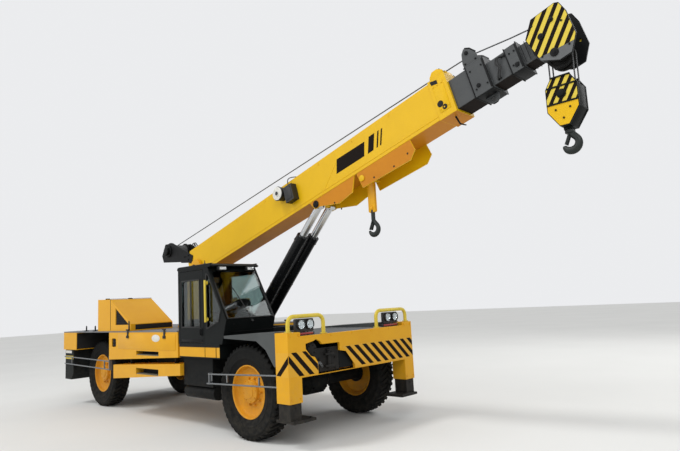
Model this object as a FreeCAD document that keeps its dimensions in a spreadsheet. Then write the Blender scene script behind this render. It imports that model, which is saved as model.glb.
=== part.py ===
import FreeCAD, Part
import math
import os
import re
import Sketcher

# A pick-and-carry mobile crane with a four-section telescopic boom, standing with its boom raised.
# X points forward, Y to the left and Z up. Every piece is laid out from the ground point below the
# front axle, and its Placement then moves it to the middle of the crane's length.

doc = FreeCAD.newDocument("mobile_crane")
sheet = doc.addObject("Spreadsheet::Sheet", "Sizes")

# Each row: the size's name and its value in millimetres (degrees for the boom's angle), as a number or
# worked out from rows above it.
SIZES = [
    # whole machine
    ("half_width", 1250), ("wheelbase", 4900), ("rear_end", "wheelbase + 1210"), ("bumper_front", 954),
    ("seat_gap", 0.3), ("running_gap", 6),
    # wheels
    ("tyre_radius", 625), ("tyre_width", 315), ("rim_radius", 348), ("rim_well", 308),
    ("rim_width", 236), ("rim_wall", 16), ("disc_offset", 36), ("disc_wall", 18), ("hub_radius", 125),
    ("hub_nose", 92), ("hub_inner", 40), ("spindle_radius", 60), ("front_wheel_y", "half_width - 220"),
    ("rear_wheel_y", "half_width - 410"),
    # axles and steering
    ("beam_radius", 95), ("diff_radius", 190), ("diff_length", 420), ("flange_radius", 140),
    ("steer_beam", 150), ("kingpin_y", "rear_wheel_y - 125"), ("kingpin_radius", 32),
    ("kingpin_height", 300), ("knuckle_size", 150), ("knuckle_height", 190), ("yoke_plate", 42),
    ("arm_reach", 220), ("arm_inset", 30), ("arm_plate", 30), ("arm_eye", 38), ("steer_barrel", 45),
    ("steer_rod", 20), ("steer_barrel_length", 560),
    # chassis frame
    ("frame_half", 330), ("frame_wall", 62), ("frame_top", 1420), ("frame_low", 880),
    ("frame_belly", 640), ("frame_rear", "rear_end - 150"), ("front_frame_top", 1330),
    ("trough_floor", 960), ("trough_rear", 2150), ("trough_front", 600),
    # wheel guard rails
    ("rail_radius", 11), ("rail_y", "half_width - 15"),
    # rear end
    ("deck_top", 1440), ("deck_front", 1620), ("rear_block_front", "wheelbase + 560"),
    ("rear_block_low", 1080), ("weight_low", 490), ("weight_front", "wheelbase + 760"),
    ("weight_top", 1075), ("weight_half", "rail_y - rail_radius - seat_gap"),
    # side boxes and steps
    ("box_rear", "wheelbase - 920"), ("box_front", 1600), ("box_low_rear", 940), ("box_low_front", 1040),
    ("step_rear", "wheelbase - 1100"), ("step_front", 1540), ("step_depth", 300),
    ("step_middle", "(step_rear + step_front) / 2"), ("step_top_rear", 850), ("step_top_front", 950),
    ("step_low_rear", 600), ("step_low_front", 770),
    # engine hood and tank
    ("hood_rear", "wheelbase - 370"), ("hood_bend", "wheelbase - 910"), ("hood_front", "wheelbase - 1700"),
    ("hood_top", 2030), ("hood_bend_top", 2015), ("hood_nose", 1560), ("hood_outer", "half_width - 30"),
    ("hood_inner", 420), ("hood_wall", 24), ("engine_length", 680), ("engine_width", 520),
    ("engine_height", 340), ("tank_rear", "wheelbase - 600"), ("tank_length", 1300), ("tank_width", 600),
    ("tank_height", 480),
    # boom mast
    ("cheek_inner", 205), ("cheek_wall", 50), ("mast_rear", 3300), ("mast_front", 2050),
    ("pivot_boss", 165), ("pivot_pin", 55),
    # front end
    ("leg_rear", 710), ("leg_inner", "half_width - 210"), ("sleeve_low", 550), ("sleeve_top", 1400),
    ("sleeve_wall", 14), ("leg_low", 350), ("foot_wall", 30), ("foot_inner", "half_width - 380"),
    ("bumper_low", 845), ("bumper_top", 1350), ("bumper_wall", 40), ("fender_inner", "half_width - 530"),
    ("fender_wall", 20), ("fender_rear", 500), ("guard_radius", 26), ("guard_top", 1620),
    ("guard_bend", 90), ("lamp_radius", 66), ("lamp_depth", 55), ("lamp_z", 1490),
    # cab
    ("cab_rear", 1570), ("cab_inner", 380), ("cab_sill_low", 1050), ("cab_floor_top", 1250),
    ("cab_roof_low", 2350), ("cab_roof_top", 2400), ("cab_wall", 40), ("cab_low_front", 430),
    ("screen_low_x", 320), ("screen_low_z", 1580), ("screen_top_x", 760), ("cab_gap", 6),
    ("glass_wall", 6), ("door_rear", 1510), ("door_front", 880), ("door_low", 1268),
    ("door_top", 2320), ("hinge_x", 1519), ("hinge_y", "half_width - 6"), ("hinge_radius", 6),
    ("hinge_height", 70), ("seat_y", "(half_width + cab_inner) / 2 - 45"),
    # boom, laid out along its own axis: distance along it and height above its underside
    ("boom_angle", 15.33), ("boom_base_z", 3115), ("boom_half", 187), ("boom_height", 510),
    ("boom_wall", 8), ("boom_rear", 3040), ("boom_mouth", 3030), ("boom_collar", 250),
    ("collar_lip", 14), ("lip_length", 150), ("slide_gap", 0.4), ("pivot_along", 2750),
    ("pivot_up", 100), ("ram_pin_along", 470), ("ram_pin_drop", 70), ("ram_pin_radius", 34),
    ("head_half", "boom_half"), ("head_wall", 22), ("sheave_along", 4258), ("sheave_drop", 50),
    ("sheave_radius", 135), ("rope_radius", 8), ("top_sheave_along", 4350),
    ("top_sheave_up", 300), ("top_sheave_radius", 110), ("sheave_width", 44), ("sheave_y", 52),
    ("groove_depth", "rope_radius * 1.8"), ("head_nose_along", 4520), ("head_nose_up", 13),
    ("jib_pin_along", 4455), ("jib_pin_up", 90), ("jib_pin_radius", 18),
    # lift rams
    ("ram_y", 112), ("ram_rod", 55), ("ram_barrel", 88), ("ram_eye", 60), ("ram_foot_x", 1400),
    ("ram_foot_z", 1235), ("ram_barrel_length", 2120), ("ram_foot_eye", 75), ("ram_rod_inner", 700),
    ("ram_bore", 230),
    # winch
    ("winch_x", 3700), ("winch_z", 2880), ("drum_radius", 120), ("drum_flange", 195),
    ("drum_length", 330), ("winch_plate", 12), ("winch_half", 199.3), ("winch_shaft", 24),
    # hooks
    ("block_z", 3760), ("block_half", 168), ("block_low", 3420), ("block_top", 3950),
    ("block_cheek", 24), ("block_y", 100), ("hook_low", 3130), ("hook_bar", 36), ("hook_bowl", 78),
    ("lug_along", 1403), ("lug_drop", 107), ("lug_radius", 22), ("link_half", 60),
    ("link_low", 2940), ("link_hook_low", 2590), ("link_bar", 30),
]


def write_sizes(rows):
    for number, (name, value) in enumerate(rows, start=1):
        if isinstance(value, str):
            doc.recompute()
            value = round(float(sheet.evalExpression(value)), 6)
        sheet.set("A%d" % number, name)
        sheet.set("B%d" % number, str(value))
        sheet.setAlias("B%d" % number, name)
    doc.recompute()


write_sizes(SIZES)
NAMES = {name for name, value in SIZES}
WORD = re.compile(r"[a-z_]+")
PLANES = {"side": "XZ_Plane", "front": "YZ_Plane", "top": "XY_Plane"}


def bound(text):
    """An expression in which each size's name is read from the sheet."""
    return WORD.sub(lambda word: "Sizes." + word.group() if word.group() in NAMES else word.group(), text)


def size(text):
    """The value of an expression, for the shapes that are set in code."""
    return float(sheet.evalExpression(text))


BOOM_COS = "cos(boom_angle * 1 deg)"
BOOM_SIN = "sin(boom_angle * 1 deg)"
ORIGIN = size("(head_nose_along * %s - head_nose_up * %s - rear_end) / 2" % (BOOM_COS, BOOM_SIN))
BOOM_TURN = FreeCAD.Rotation(FreeCAD.Vector(0, 1, 0), -size("boom_angle"))


def at_middle():
    return FreeCAD.Placement(FreeCAD.Vector(-ORIGIN, 0, 0), FreeCAD.Rotation())


def along_boom():
    return FreeCAD.Placement(FreeCAD.Vector(-ORIGIN, 0, size("boom_base_z")), BOOM_TURN)


def outline(sketch, loops):
    """Closed outlines of straight edges, every corner held by two named distances."""
    first = 0
    for loop in loops:
        spots = [(size(across), size(up)) for across, up in loop]
        count = len(spots)
        for index in range(count):
            start, end = spots[index], spots[(index + 1) % count]
            edge = Part.LineSegment(FreeCAD.Vector(*start, 0), FreeCAD.Vector(*end, 0))
            sketch.addGeometry(edge)
        for index in range(count):
            following = first + (index + 1) % count
            sketch.addConstraint(Sketcher.Constraint("Coincident", first + index, 2, following, 1))
        for index in range(count):
            for kind, spot, text in zip(("DistanceX", "DistanceY"), spots[index], loop[index]):
                held = sketch.addConstraint(Sketcher.Constraint(kind, -1, 1, first + index, 1, spot))
                sketch.setExpression("Constraints[%d]" % held, bound(text))
        first += count


def new_sketch(body, plane, start, loops):
    sketch = body.newObject("Sketcher::SketchObject", body.Name + "_sketch")
    role = PLANES[plane]
    support = [feature for feature in body.Origin.OriginFeatures if feature.Role == role][0]
    sketch.AttachmentSupport = (support, [""])
    sketch.MapMode = "FlatFace"
    offset = "-(%s)" % start if plane == "side" else start
    sketch.setExpression("AttachmentOffset.Base.z", bound(offset))
    outline(sketch, loops)
    return sketch


def add_pad(body, plane, start, length, *loops):
    """A pad from the start plane towards +X, +Y or +Z."""
    pad = body.newObject("PartDesign::Pad", body.Name + "_pad")
    pad.Profile = new_sketch(body, plane, start, loops)
    pad.setExpression("Length", bound(length))
    pad.Reversed = plane == "side"
    doc.recompute()
    return pad


def add_pocket(body, plane, start, length, *loops):
    """A pocket from the start plane towards +X, +Y or +Z."""
    before = body.Shape.Volume
    pocket = body.newObject("PartDesign::Pocket", body.Name + "_pocket")
    pocket.Profile = new_sketch(body, plane, start, loops)
    pocket.setExpression("Length", bound(length))
    pocket.Reversed = plane != "side"
    doc.recompute()
    if not body.Shape.Volume < before - 1:
        raise RuntimeError("a pocket in %s cuts nothing" % body.Name)
    return pocket


def new_body(name):
    body = doc.addObject("PartDesign::Body", name)
    body.Label = name
    return body


def slab(name, plane, start, length, *loops):
    body = new_body(name)
    add_pad(body, plane, start, length, *loops)
    return body


def box_loop(left, low, right, top):
    return [(left, low), (right, low), (right, top), (left, top)]


def mirrored(loop):
    return [("-(%s)" % across, up) for across, up in reversed(loop)]


def turned(name, loop, centre_x="0", centre_z="0", centre_y="0"):
    """A full turn about a line along Y: each corner is a place along Y and a radius."""
    body = new_body(name)
    sketch = body.newObject("Sketcher::SketchObject", name + "_sketch")
    support = [item for item in body.Origin.OriginFeatures if item.Role == "YZ_Plane"][0]
    sketch.AttachmentSupport = (support, [""])
    sketch.MapMode = "FlatFace"
    sketch.setExpression("AttachmentOffset.Base.z", bound(centre_x))
    sketch.setExpression("AttachmentOffset.Base.x", bound(centre_y))
    sketch.setExpression("AttachmentOffset.Base.y", bound(centre_z))
    outline(sketch, [loop])
    turn = body.newObject("PartDesign::Revolution", name + "_turn")
    turn.Profile = sketch
    turn.ReferenceAxis = (sketch, ["H_Axis"])
    turn.Angle = 360
    doc.recompute()
    return body


def faceted(name, loop, sides, along, across, up):
    """The same turn in flat facets, with a corner at its lowest point."""
    centre = FreeCAD.Vector(size(along), size(across), size(up))
    rings = []
    for step in range(sides):
        angle = 2 * math.pi * step / sides
        way = FreeCAD.Vector(math.sin(angle), 0, -math.cos(angle))
        rings.append([centre + way * size(radius) + FreeCAD.Vector(0, size(place), 0)
                      for place, radius in loop])
    faces = []
    for ring, following in zip(rings, rings[1:] + rings[:1]):
        for index in range(len(loop)):
            after = (index + 1) % len(loop)
            edge = [ring[index], ring[after], following[after], following[index], ring[index]]
            faces.append(Part.Face(Part.makePolygon(edge)))
    solid = Part.makeSolid(Part.makeShell(faces))
    if solid.Volume < 0:
        solid.reverse()
    return shaped(name, solid)


def block(name, x, y, z, length, width, height):
    """A box by its low corner and its three sides."""
    item = doc.addObject("Part::Box", name)
    for key, text in (("Length", length), ("Width", width), ("Height", height)):
        item.setExpression(key, bound(text))
    for key, text in (("x", x), ("y", y), ("z", z)):
        item.setExpression("Placement.Base." + key, bound(text))
    return item


TURNS = {
    "x": FreeCAD.Rotation(FreeCAD.Vector(0, 1, 0), 90),
    "y": FreeCAD.Rotation(FreeCAD.Vector(1, 0, 0), -90),
    "z": FreeCAD.Rotation(),
}


def bar(name, axis, x, y, z, radius, length):
    """A round bar by its start point, its axis, its radius and its length."""
    item = doc.addObject("Part::Cylinder", name)
    item.Placement = FreeCAD.Placement(FreeCAD.Vector(), TURNS[axis])
    item.setExpression("Radius", bound(radius))
    item.setExpression("Height", bound(length))
    for key, text in (("x", x), ("y", y), ("z", z)):
        item.setExpression("Placement.Base." + key, bound(text))
    return item


def join(name, *items):
    fused = doc.addObject("Part::MultiFuse", name)
    fused.Shapes = list(items)
    fused.Refine = True
    doc.recompute()
    return fused


def cut(name, base, *tools):
    tool = tools[0] if len(tools) == 1 else join(name + "_tools", *tools)
    result = doc.addObject("Part::Cut", name)
    result.Base = base
    result.Tool = tool
    result.Refine = True
    doc.recompute()
    return result


def group(name, *items):
    """Solids of one kind that stand apart and share a node."""
    held = doc.addObject("Part::Compound", name)
    held.Links = list(items)
    doc.recompute()
    return held


def shaped(name, shape):
    feature = doc.addObject("Part::Feature", name)
    feature.Shape = shape
    return feature


def swept(name, spots, radii, sides, level):
    """A bar of many-sided section along a bent line that lies in one plane; level is square to it."""
    rings = []
    for index, spot in enumerate(spots):
        before = spots[max(index - 1, 0)]
        after = spots[min(index + 1, len(spots) - 1)]
        outward = (after - before).cross(level).normalize()
        rings.append([spot + outward * (radii[index] * math.cos(2 * math.pi * side / sides))
                      + level * (radii[index] * math.sin(2 * math.pi * side / sides))
                      for side in range(sides)])
    faces = [Part.Face(Part.makePolygon(ring + ring[:1])) for ring in (rings[0], rings[-1])]
    for ring, following in zip(rings, rings[1:]):
        for side in range(sides):
            after = (side + 1) % sides
            for edge in ([ring[side], ring[after], following[after]],
                         [ring[side], following[after], following[side]]):
                faces.append(Part.Face(Part.makePolygon(edge + edge[:1])))
    solid = Part.makeSolid(Part.makeShell(faces))
    if solid.Volume < 0:
        solid.reverse()
    return shaped(name, solid)


finished = []


def keep(item, label, placement=None):
    """Lists a sub-part under the name of its file and moves it to its place."""
    item.Label = label
    place = placement or at_middle()
    item.Placement = place.multiply(item.Placement)
    finished.append(item)
    return item


# Chassis frame: a long box girder, narrow enough for the rear wheels to turn beside it, with an open
# trough for the feet of the lift rams.
frame = slab("frame_body", "side", "-frame_half", "frame_half * 2", [
    ("-frame_rear", "frame_low"), ("-box_rear - 70", "frame_low"), ("-box_rear + 230", "frame_belly"),
    ("-950", "frame_belly"), ("-650", "frame_low"), ("bumper_front - bumper_wall", "frame_low"),
    ("bumper_front - bumper_wall", "front_frame_top"), ("-cab_low_front", "front_frame_top"),
    ("-cab_low_front", "frame_top"), ("-frame_rear", "frame_top")])
add_pocket(frame, "top", "trough_floor", "frame_top - trough_floor", box_loop(
    "-trough_rear", "-frame_half + frame_wall", "-trough_front", "frame_half - frame_wall"))
keep(frame, "main_frame")

# Front axle: a round beam with the drive housing at its middle and a flange and spindle at each end.
spindle_end = "front_wheel_y + hub_nose - 12"
axle = turned("front_axle_beam", [
    ("-(%s)" % spindle_end, "0"), (spindle_end, "0"), (spindle_end, "spindle_radius - 1"),
    ("front_wheel_y - hub_inner - 6", "spindle_radius - 1"),
    ("front_wheel_y - hub_inner - 6", "flange_radius"),
    ("front_wheel_y - hub_inner - 36", "flange_radius"),
    ("front_wheel_y - hub_inner - 36", "beam_radius"), ("diff_length / 2 + 60", "beam_radius"),
    ("diff_length / 2 - 60", "diff_radius"), ("-diff_length / 2 + 60", "diff_radius"),
    ("-diff_length / 2 - 60", "beam_radius"), ("-front_wheel_y + hub_inner + 36", "beam_radius"),
    ("-front_wheel_y + hub_inner + 36", "flange_radius"),
    ("-front_wheel_y + hub_inner + 6", "flange_radius"),
    ("-front_wheel_y + hub_inner + 6", "spindle_radius - 1"),
    ("-(%s)" % spindle_end, "spindle_radius - 1")], centre_z="tyre_radius")
seats = [block("axle_seat_" + side, "-90", low, "tyre_radius", "180", "60", "frame_low - tyre_radius")
         for side, low in (("right", "-frame_half"), ("left", "frame_half - 60"))]
keep(join("front_axle_whole", axle, *seats), "front_axle")

# Rear axle: a steering beam that rocks on a pin under the frame, with a yoke and kingpin at each end
# and the steering cylinder behind it.
beam = block("steer_beam_bar", "-wheelbase - steer_beam / 2", "-kingpin_y + knuckle_size / 2 + 32",
             "tyre_radius - steer_beam / 2", "steer_beam",
             "(kingpin_y - knuckle_size / 2 - 32) * 2", "steer_beam")
rocker = block("rocker_block", "-wheelbase - 110", "-90", "tyre_radius", "220", "180",
               "frame_low - tyre_radius")
rocker_pin = bar("rocker_pin", "x", "-wheelbase - 190", "0", "tyre_radius + 160", "52", "380")
steer_body = bar("steer_cylinder", "y", "-wheelbase - arm_reach", "-steer_barrel_length / 2",
                 "tyre_radius - 20", "steer_barrel", "steer_barrel_length")
steer_mount = block("steer_mount", "-wheelbase - arm_reach", "-60", "tyre_radius - 50", "arm_reach",
                    "120", "60")
yokes = []
for side, sign in (("right", "-"), ("left", "")):
    for level, low in (("low", "tyre_radius - knuckle_height / 2 - running_gap - yoke_plate"),
                       ("high", "tyre_radius + knuckle_height / 2 + running_gap")):
        start = "-kingpin_y - 45" if sign else "kingpin_y - knuckle_size / 2 - 60"
        yokes.append(block("yoke_%s_%s" % (side, level), "-wheelbase - 55", start, low, "110",
                           "knuckle_size / 2 + 105", "yoke_plate"))
    spine = "-kingpin_y + knuckle_size / 2 + 12" if sign else "kingpin_y - knuckle_size / 2 - 60"
    yokes.append(block("yoke_spine_" + side, "-wheelbase - 55", spine,
                       "tyre_radius - knuckle_height / 2 - running_gap - yoke_plate", "110", "48",
                       "knuckle_height + running_gap * 2 + yoke_plate * 2"))
    yokes.append(bar("kingpin_" + side, "z", "-wheelbase", sign + "kingpin_y",
                     "tyre_radius - kingpin_height / 2", "kingpin_radius", "kingpin_height"))
steer_bore = bar("steer_bore", "y", "-wheelbase - arm_reach", "-600", "tyre_radius - 20",
                 "steer_rod + 0.5", "1200")
keep(cut("rear_axle_whole", join("rear_axle_fused", beam, rocker, rocker_pin, steer_body, steer_mount,
                                 *yokes), steer_bore), "rear_axle")

# Steering rod: one through rod in the steering cylinder, with an eye over each steering arm.
rod_eye_y = "kingpin_y - arm_inset"
rod_pieces = [bar("through_rod", "y", "-wheelbase - arm_reach", "-(%s)" % rod_eye_y, "tyre_radius - 20",
                  "steer_rod", "(%s) * 2" % rod_eye_y)]
for side, sign in (("right", "-"), ("left", "")):
    rod_pieces.append(bar("rod_eye_" + side, "z", "-wheelbase - arm_reach", "%s(%s)" % (sign, rod_eye_y),
                          "tyre_radius - 42", "arm_eye", "44"))
keep(join("steering_rod_whole", *rod_pieces), "steering_rod")

# Knuckles: a bored barrel on the kingpin, the wheel's spindle and the steering arm with its eye.
for side, sign in (("right", "-"), ("left", "")):
    lump = bar("knuckle_barrel_" + side, "z", "-wheelbase", sign + "kingpin_y",
               "tyre_radius - knuckle_height / 2", "knuckle_size / 2 + 4", "knuckle_height")
    reach = "rear_wheel_y + hub_nose - 12 - kingpin_y"
    spindle_low = "-rear_wheel_y - hub_nose + 12" if sign else "kingpin_y"
    spindle = bar("rear_spindle_" + side, "y", "-wheelbase", spindle_low, "tyre_radius",
                  "spindle_radius - 1", reach)
    inset = [("-wheelbase - 50", sign + "(kingpin_y - 44)"), ("-wheelbase - 50", sign + "(kingpin_y + 8)"),
             ("-wheelbase - arm_reach", sign + "(%s + 26)" % rod_eye_y),
             ("-wheelbase - arm_reach", sign + "(%s - 26)" % rod_eye_y)]
    arm_low = "tyre_radius - 42 - running_gap - arm_plate"
    arm = slab("steer_arm_" + side, "top", arm_low, "arm_plate", inset)
    eye = bar("arm_eye_" + side, "z", "-wheelbase - arm_reach", "%s(%s)" % (sign, rod_eye_y), arm_low,
              "arm_eye", "arm_plate")
    bore = bar("knuckle_bore_" + side, "z", "-wheelbase", sign + "kingpin_y", "0",
               "kingpin_radius + 0.5", "tyre_radius * 2")
    whole = cut("knuckle_whole_" + side, join("knuckle_joined_" + side, lump, spindle, arm, eye), bore)
    keep(whole, "knuckle_" + side)

# Wheels: a dished disc rim with a hub bored for its spindle, and a wide tyre with square shoulders.
RIM = [("-rim_width / 2", "rim_radius"), ("-rim_width / 2 + 10", "rim_radius"),
       ("-rim_width / 2 + 14", "rim_well"), ("rim_width / 2 - 14", "rim_well"),
       ("rim_width / 2 - 10", "rim_radius"), ("rim_width / 2", "rim_radius"),
       ("rim_width / 2", "rim_radius - 26"), ("rim_width / 2 - 22", "rim_well - rim_wall"),
       ("disc_offset + disc_wall", "rim_well - rim_wall - 4"),
       ("disc_offset + disc_wall", "hub_radius + 8"), ("hub_nose - 6", "hub_radius - 8"),
       ("hub_nose", "hub_radius - 30"), ("hub_nose", "spindle_radius - 3"),
       ("-hub_inner", "spindle_radius - 3"),
       ("-hub_inner", "hub_radius"), ("disc_offset", "hub_radius"),
       ("disc_offset", "rim_well - rim_wall - 4"), ("-rim_width / 2 + 22", "rim_well - rim_wall"),
       ("-rim_width / 2", "rim_radius - 26")]
TYRE = [("-rim_width / 2 + 14.3", "rim_well + seat_gap"), ("rim_width / 2 - 14.3", "rim_well + seat_gap"),
        ("rim_width / 2 - 9.7", "rim_radius + 4"), ("tyre_width / 2 - 10", "rim_radius + 55"),
        ("tyre_width / 2", "rim_radius + 125"), ("tyre_width / 2 - 6", "tyre_radius - 62"),
        ("tyre_width / 2 - 36", "tyre_radius - 10"), ("tyre_width / 4", "tyre_radius"),
        ("-tyre_width / 4", "tyre_radius"), ("-tyre_width / 2 + 36", "tyre_radius - 10"),
        ("-tyre_width / 2 + 6", "tyre_radius - 62"), ("-tyre_width / 2", "rim_radius + 125"),
        ("-tyre_width / 2 + 10", "rim_radius + 55"), ("-rim_width / 2 + 9.7", "rim_radius + 4")]
# Each row: the wheel's name, where its axle stands along X and across, and its outward side.
WHEELS = [("front_right", "0", "-front_wheel_y", -1), ("front_left", "0", "front_wheel_y", 1),
          ("rear_right", "-wheelbase", "-rear_wheel_y", -1), ("rear_left", "-wheelbase", "rear_wheel_y", 1)]
WHEEL_SIDES = 40
for name, along, across, outward in WHEELS:
    for kind, profile in (("rim", RIM), ("tyre", TYRE)):
        loop = profile if outward > 0 else mirrored(profile)
        wheel = faceted("%s_%s_body" % (name, kind), loop, WHEEL_SIDES, along, across, "tyre_radius")
        if kind == "rim":
            bore = bar(name + "_bore", "y", along, across + " - hub_nose - 10", "tyre_radius",
                       "spindle_radius", "hub_nose * 2 + 20")
            wheel = cut(name + "_rim_bored", wheel, bore)
        keep(wheel, "%s_%s" % (kind, name))

# Counterweight: a cast block across the tail with a chamfered lower front edge, notched for the frame.
weight = slab("weight_body", "side", "-weight_half", "weight_half * 2", [
    ("-rear_end + 30", "weight_low"), ("-weight_front - 100", "weight_low"),
    ("-weight_front", "weight_low + 130"), ("-weight_front", "weight_top"),
    ("-rear_end + 30", "weight_top")])
add_pocket(weight, "side", "-frame_half - seat_gap", "(frame_half + seat_gap) * 2", box_loop(
    "-frame_rear - seat_gap", "frame_low - seat_gap", "-weight_front", "weight_top"))
keep(weight, "counterweight")

# Rear cross block: the painted box section above the counterweight.
rear_block = slab("rear_block", "side", "-half_width", "half_width * 2", box_loop(
    "-rear_end", "rear_block_low", "-rear_block_front", "deck_top - 20"))
add_pocket(rear_block, "top", "rear_block_low", "deck_top", box_loop(
    "-frame_rear - seat_gap", "-frame_half - seat_gap", "-rear_block_front", "frame_half + seat_gap"))
keep(rear_block, "rear_cross_block")

# Rear deck: a plate over the frame, the side boxes and the rear block, open above the ram trough.
deck = slab("rear_deck_body", "top", "frame_top", "deck_top - frame_top",
            box_loop("-rear_end", "-half_width", "-deck_front", "half_width"),
            box_loop("-trough_rear", "-frame_half + frame_wall", "-deck_front - 90",
                     "frame_half - frame_wall"))
keep(deck, "rear_deck")

# Side boxes under the deck, against the frame, with a vent at the rear of each outer face.
side_boxes = []
step_boxes = []
for side, low, step_low in (("right", "-half_width", "-half_width"),
                            ("left", "frame_half", "half_width - step_depth")):
    chest = slab("side_box_" + side, "side", low, "half_width - frame_half", [
        ("-box_rear", "box_low_rear"), ("-box_front", "box_low_front"), ("-box_front", "frame_top"),
        ("-box_rear", "frame_top")])
    face = "-half_width" if side == "right" else "half_width - 12"
    add_pocket(chest, "side", face, "12", box_loop("-box_rear + 95", "1190", "-box_rear + 205", "1330"))
    side_boxes.append(chest)
    step = slab("step_box_" + side, "side", step_low, "step_depth", [
        ("-step_rear", "step_low_rear"), ("-step_front", "step_low_front"),
        ("-step_front", "step_top_front"), ("-step_rear", "step_top_rear")])
    tread_face = "-half_width" if side == "right" else "half_width - 180"
    add_pocket(step, "side", tread_face, "180", box_loop("-step_middle - 260", "765", "-step_middle + 260", "800"))
    add_pocket(step, "side", tread_face, "180", box_loop("-step_middle - 260", "690", "-step_middle + 260", "722"))
    hangers = [slab("hanger_%s_%s" % (side, place), "side",
                    "-half_width + 120" if side == "right" else "half_width - 180", "60", [
                        (rear, "800"), (rear + " + 40", "800"), (rear + " + 40", "1010"),
                        (rear, "1010")])
               for place, rear in (("rear", "-step_rear + 350"), ("front", "-step_front - 360"))]
    joined = join("step_joined_" + side, step, *hangers)
    step_boxes.append(cut("step_whole_" + side, joined, chest))
keep(group("side_boxes", *side_boxes), "side_boxes")
keep(group("step_boxes", *step_boxes), "step_boxes")

# Engine hood: a sheet cover on the right of the deck, open below: a level box, then a plain ramp that
# runs down towards the cab. It has a three-cornered vent in its outer side and a slot in its low front.
hood_line = [("-hood_rear", "deck_top"), ("-hood_front", "deck_top"), ("-hood_front", "hood_nose"),
             ("-hood_bend", "hood_bend_top"), ("-hood_rear", "hood_top")]
hood = slab("engine_hood_body", "side", "-hood_outer", "hood_outer - hood_inner", hood_line)
add_pocket(hood, "side", "-hood_outer + hood_wall", "hood_outer - hood_inner - hood_wall * 2", [
    ("-hood_rear + hood_wall", "deck_top"), ("-hood_front - hood_wall", "deck_top"),
    ("-hood_front - hood_wall", "hood_nose - 10"), ("-hood_bend", "hood_bend_top - hood_wall - 4"),
    ("-hood_rear + hood_wall", "hood_top - hood_wall")])
add_pocket(hood, "side", "-hood_outer", "hood_wall", [
    ("-hood_bend + 200", "deck_top + 110"), ("-hood_front - 70", "deck_top + 110"),
    ("-hood_bend + 200", "deck_top + 410")])
add_pocket(hood, "front", "-hood_front - hood_wall", "hood_wall", box_loop(
    "-hood_outer + 90", "deck_top + 30", "-hood_inner - 120", "hood_nose - 34"))
keep(hood, "engine_hood")
engine_mass = block("engine_mass", "-hood_rear + 130", "-hood_outer + 130", "deck_top", "engine_length",
                    "engine_width", "engine_height")
fan_shroud = block("fan_shroud", "-hood_rear + 40", "-hood_outer + 110", "deck_top", "90 + seat_gap",
                   "engine_width + 40", "engine_height + 60")
keep(join("engine_block_whole", engine_mass, fan_shroud), "engine_block")

# Hydraulic oil tank on the left of the deck, with a filler neck.
tank_box = block("tank_box", "-tank_rear", "half_width - 60 - tank_width", "deck_top", "tank_length",
                 "tank_width", "tank_height")
filler = bar("tank_filler", "z", "-tank_rear + 250", "half_width - 260", "deck_top + tank_height - 5",
             "60", "55")
keep(join("oil_tank_whole", tank_box, filler), "oil_tank")

# Boom mast: two cheek plates on the deck that carry the boom's pivot pin.
pivot_x = "(-pivot_along * %s - pivot_up * %s)" % (BOOM_COS, BOOM_SIN)
pivot_z = "(boom_base_z - pivot_along * %s + pivot_up * %s)" % (BOOM_SIN, BOOM_COS)
cheeks = []
for side, low in (("right", "-cheek_inner - cheek_wall"), ("left", "cheek_inner")):
    cheek = slab("cheek_" + side, "side", low, "cheek_wall", [
        ("-mast_rear", "deck_top"), ("-mast_front", "deck_top"),
        (pivot_x + " + pivot_boss * 0.93", pivot_z + " + pivot_boss * 0.36"),
        (pivot_x + " - pivot_boss * 0.93", pivot_z + " + pivot_boss * 0.36")])
    boss = bar("boss_" + side, "y", pivot_x, low, pivot_z, "pivot_boss", "cheek_wall")
    cheeks.append(join("mast_cheek_" + side, cheek, boss))
pivot_bar = bar("pivot_bar", "y", pivot_x, "-cheek_inner - cheek_wall - 25", pivot_z, "pivot_pin",
                "(cheek_inner + cheek_wall + 25) * 2")
keep(join("boom_mast_whole", pivot_bar, *cheeks), "boom_mast")

# Front deck and fenders: a plate behind the bumper, wider between the sleeves where the lamps stand, and
# an arched mudguard over each front wheel.
front_plate = block("front_plate", "-cab_low_front + 42", "-fender_inner", "front_frame_top",
                    "bumper_front - bumper_wall + cab_low_front - 42", "fender_inner * 2", "20")
fenders = []
for side, low in (("right", "-half_width"), ("left", "fender_inner")):
    tail = [("-cab_low_front + 42", "1367"), ("-cab_low_front + 42", "1330")] if side == "right" else [
        ("-fender_rear + 20", "1365"), ("-fender_rear - 40", "1240"), ("-fender_rear - 15", "1225"),
        ("-fender_rear + 60", "1330")]
    fenders.append(slab("fender_" + side, "side", low, "half_width - fender_inner", tail + [
        ("330", "1300"), ("520", "1190"), ("leg_rear - 30", "985"), ("leg_rear - seat_gap", "985"),
        ("leg_rear - seat_gap", "1410")]))
lamp_shelf = block("lamp_shelf", "leg_rear - 10", "-leg_inner", "front_frame_top",
                   "bumper_front - bumper_wall - leg_rear + 10", "leg_inner * 2", "20")
keep(join("front_deck_whole", front_plate, lamp_shelf, *fenders), "front_deck")

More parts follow.
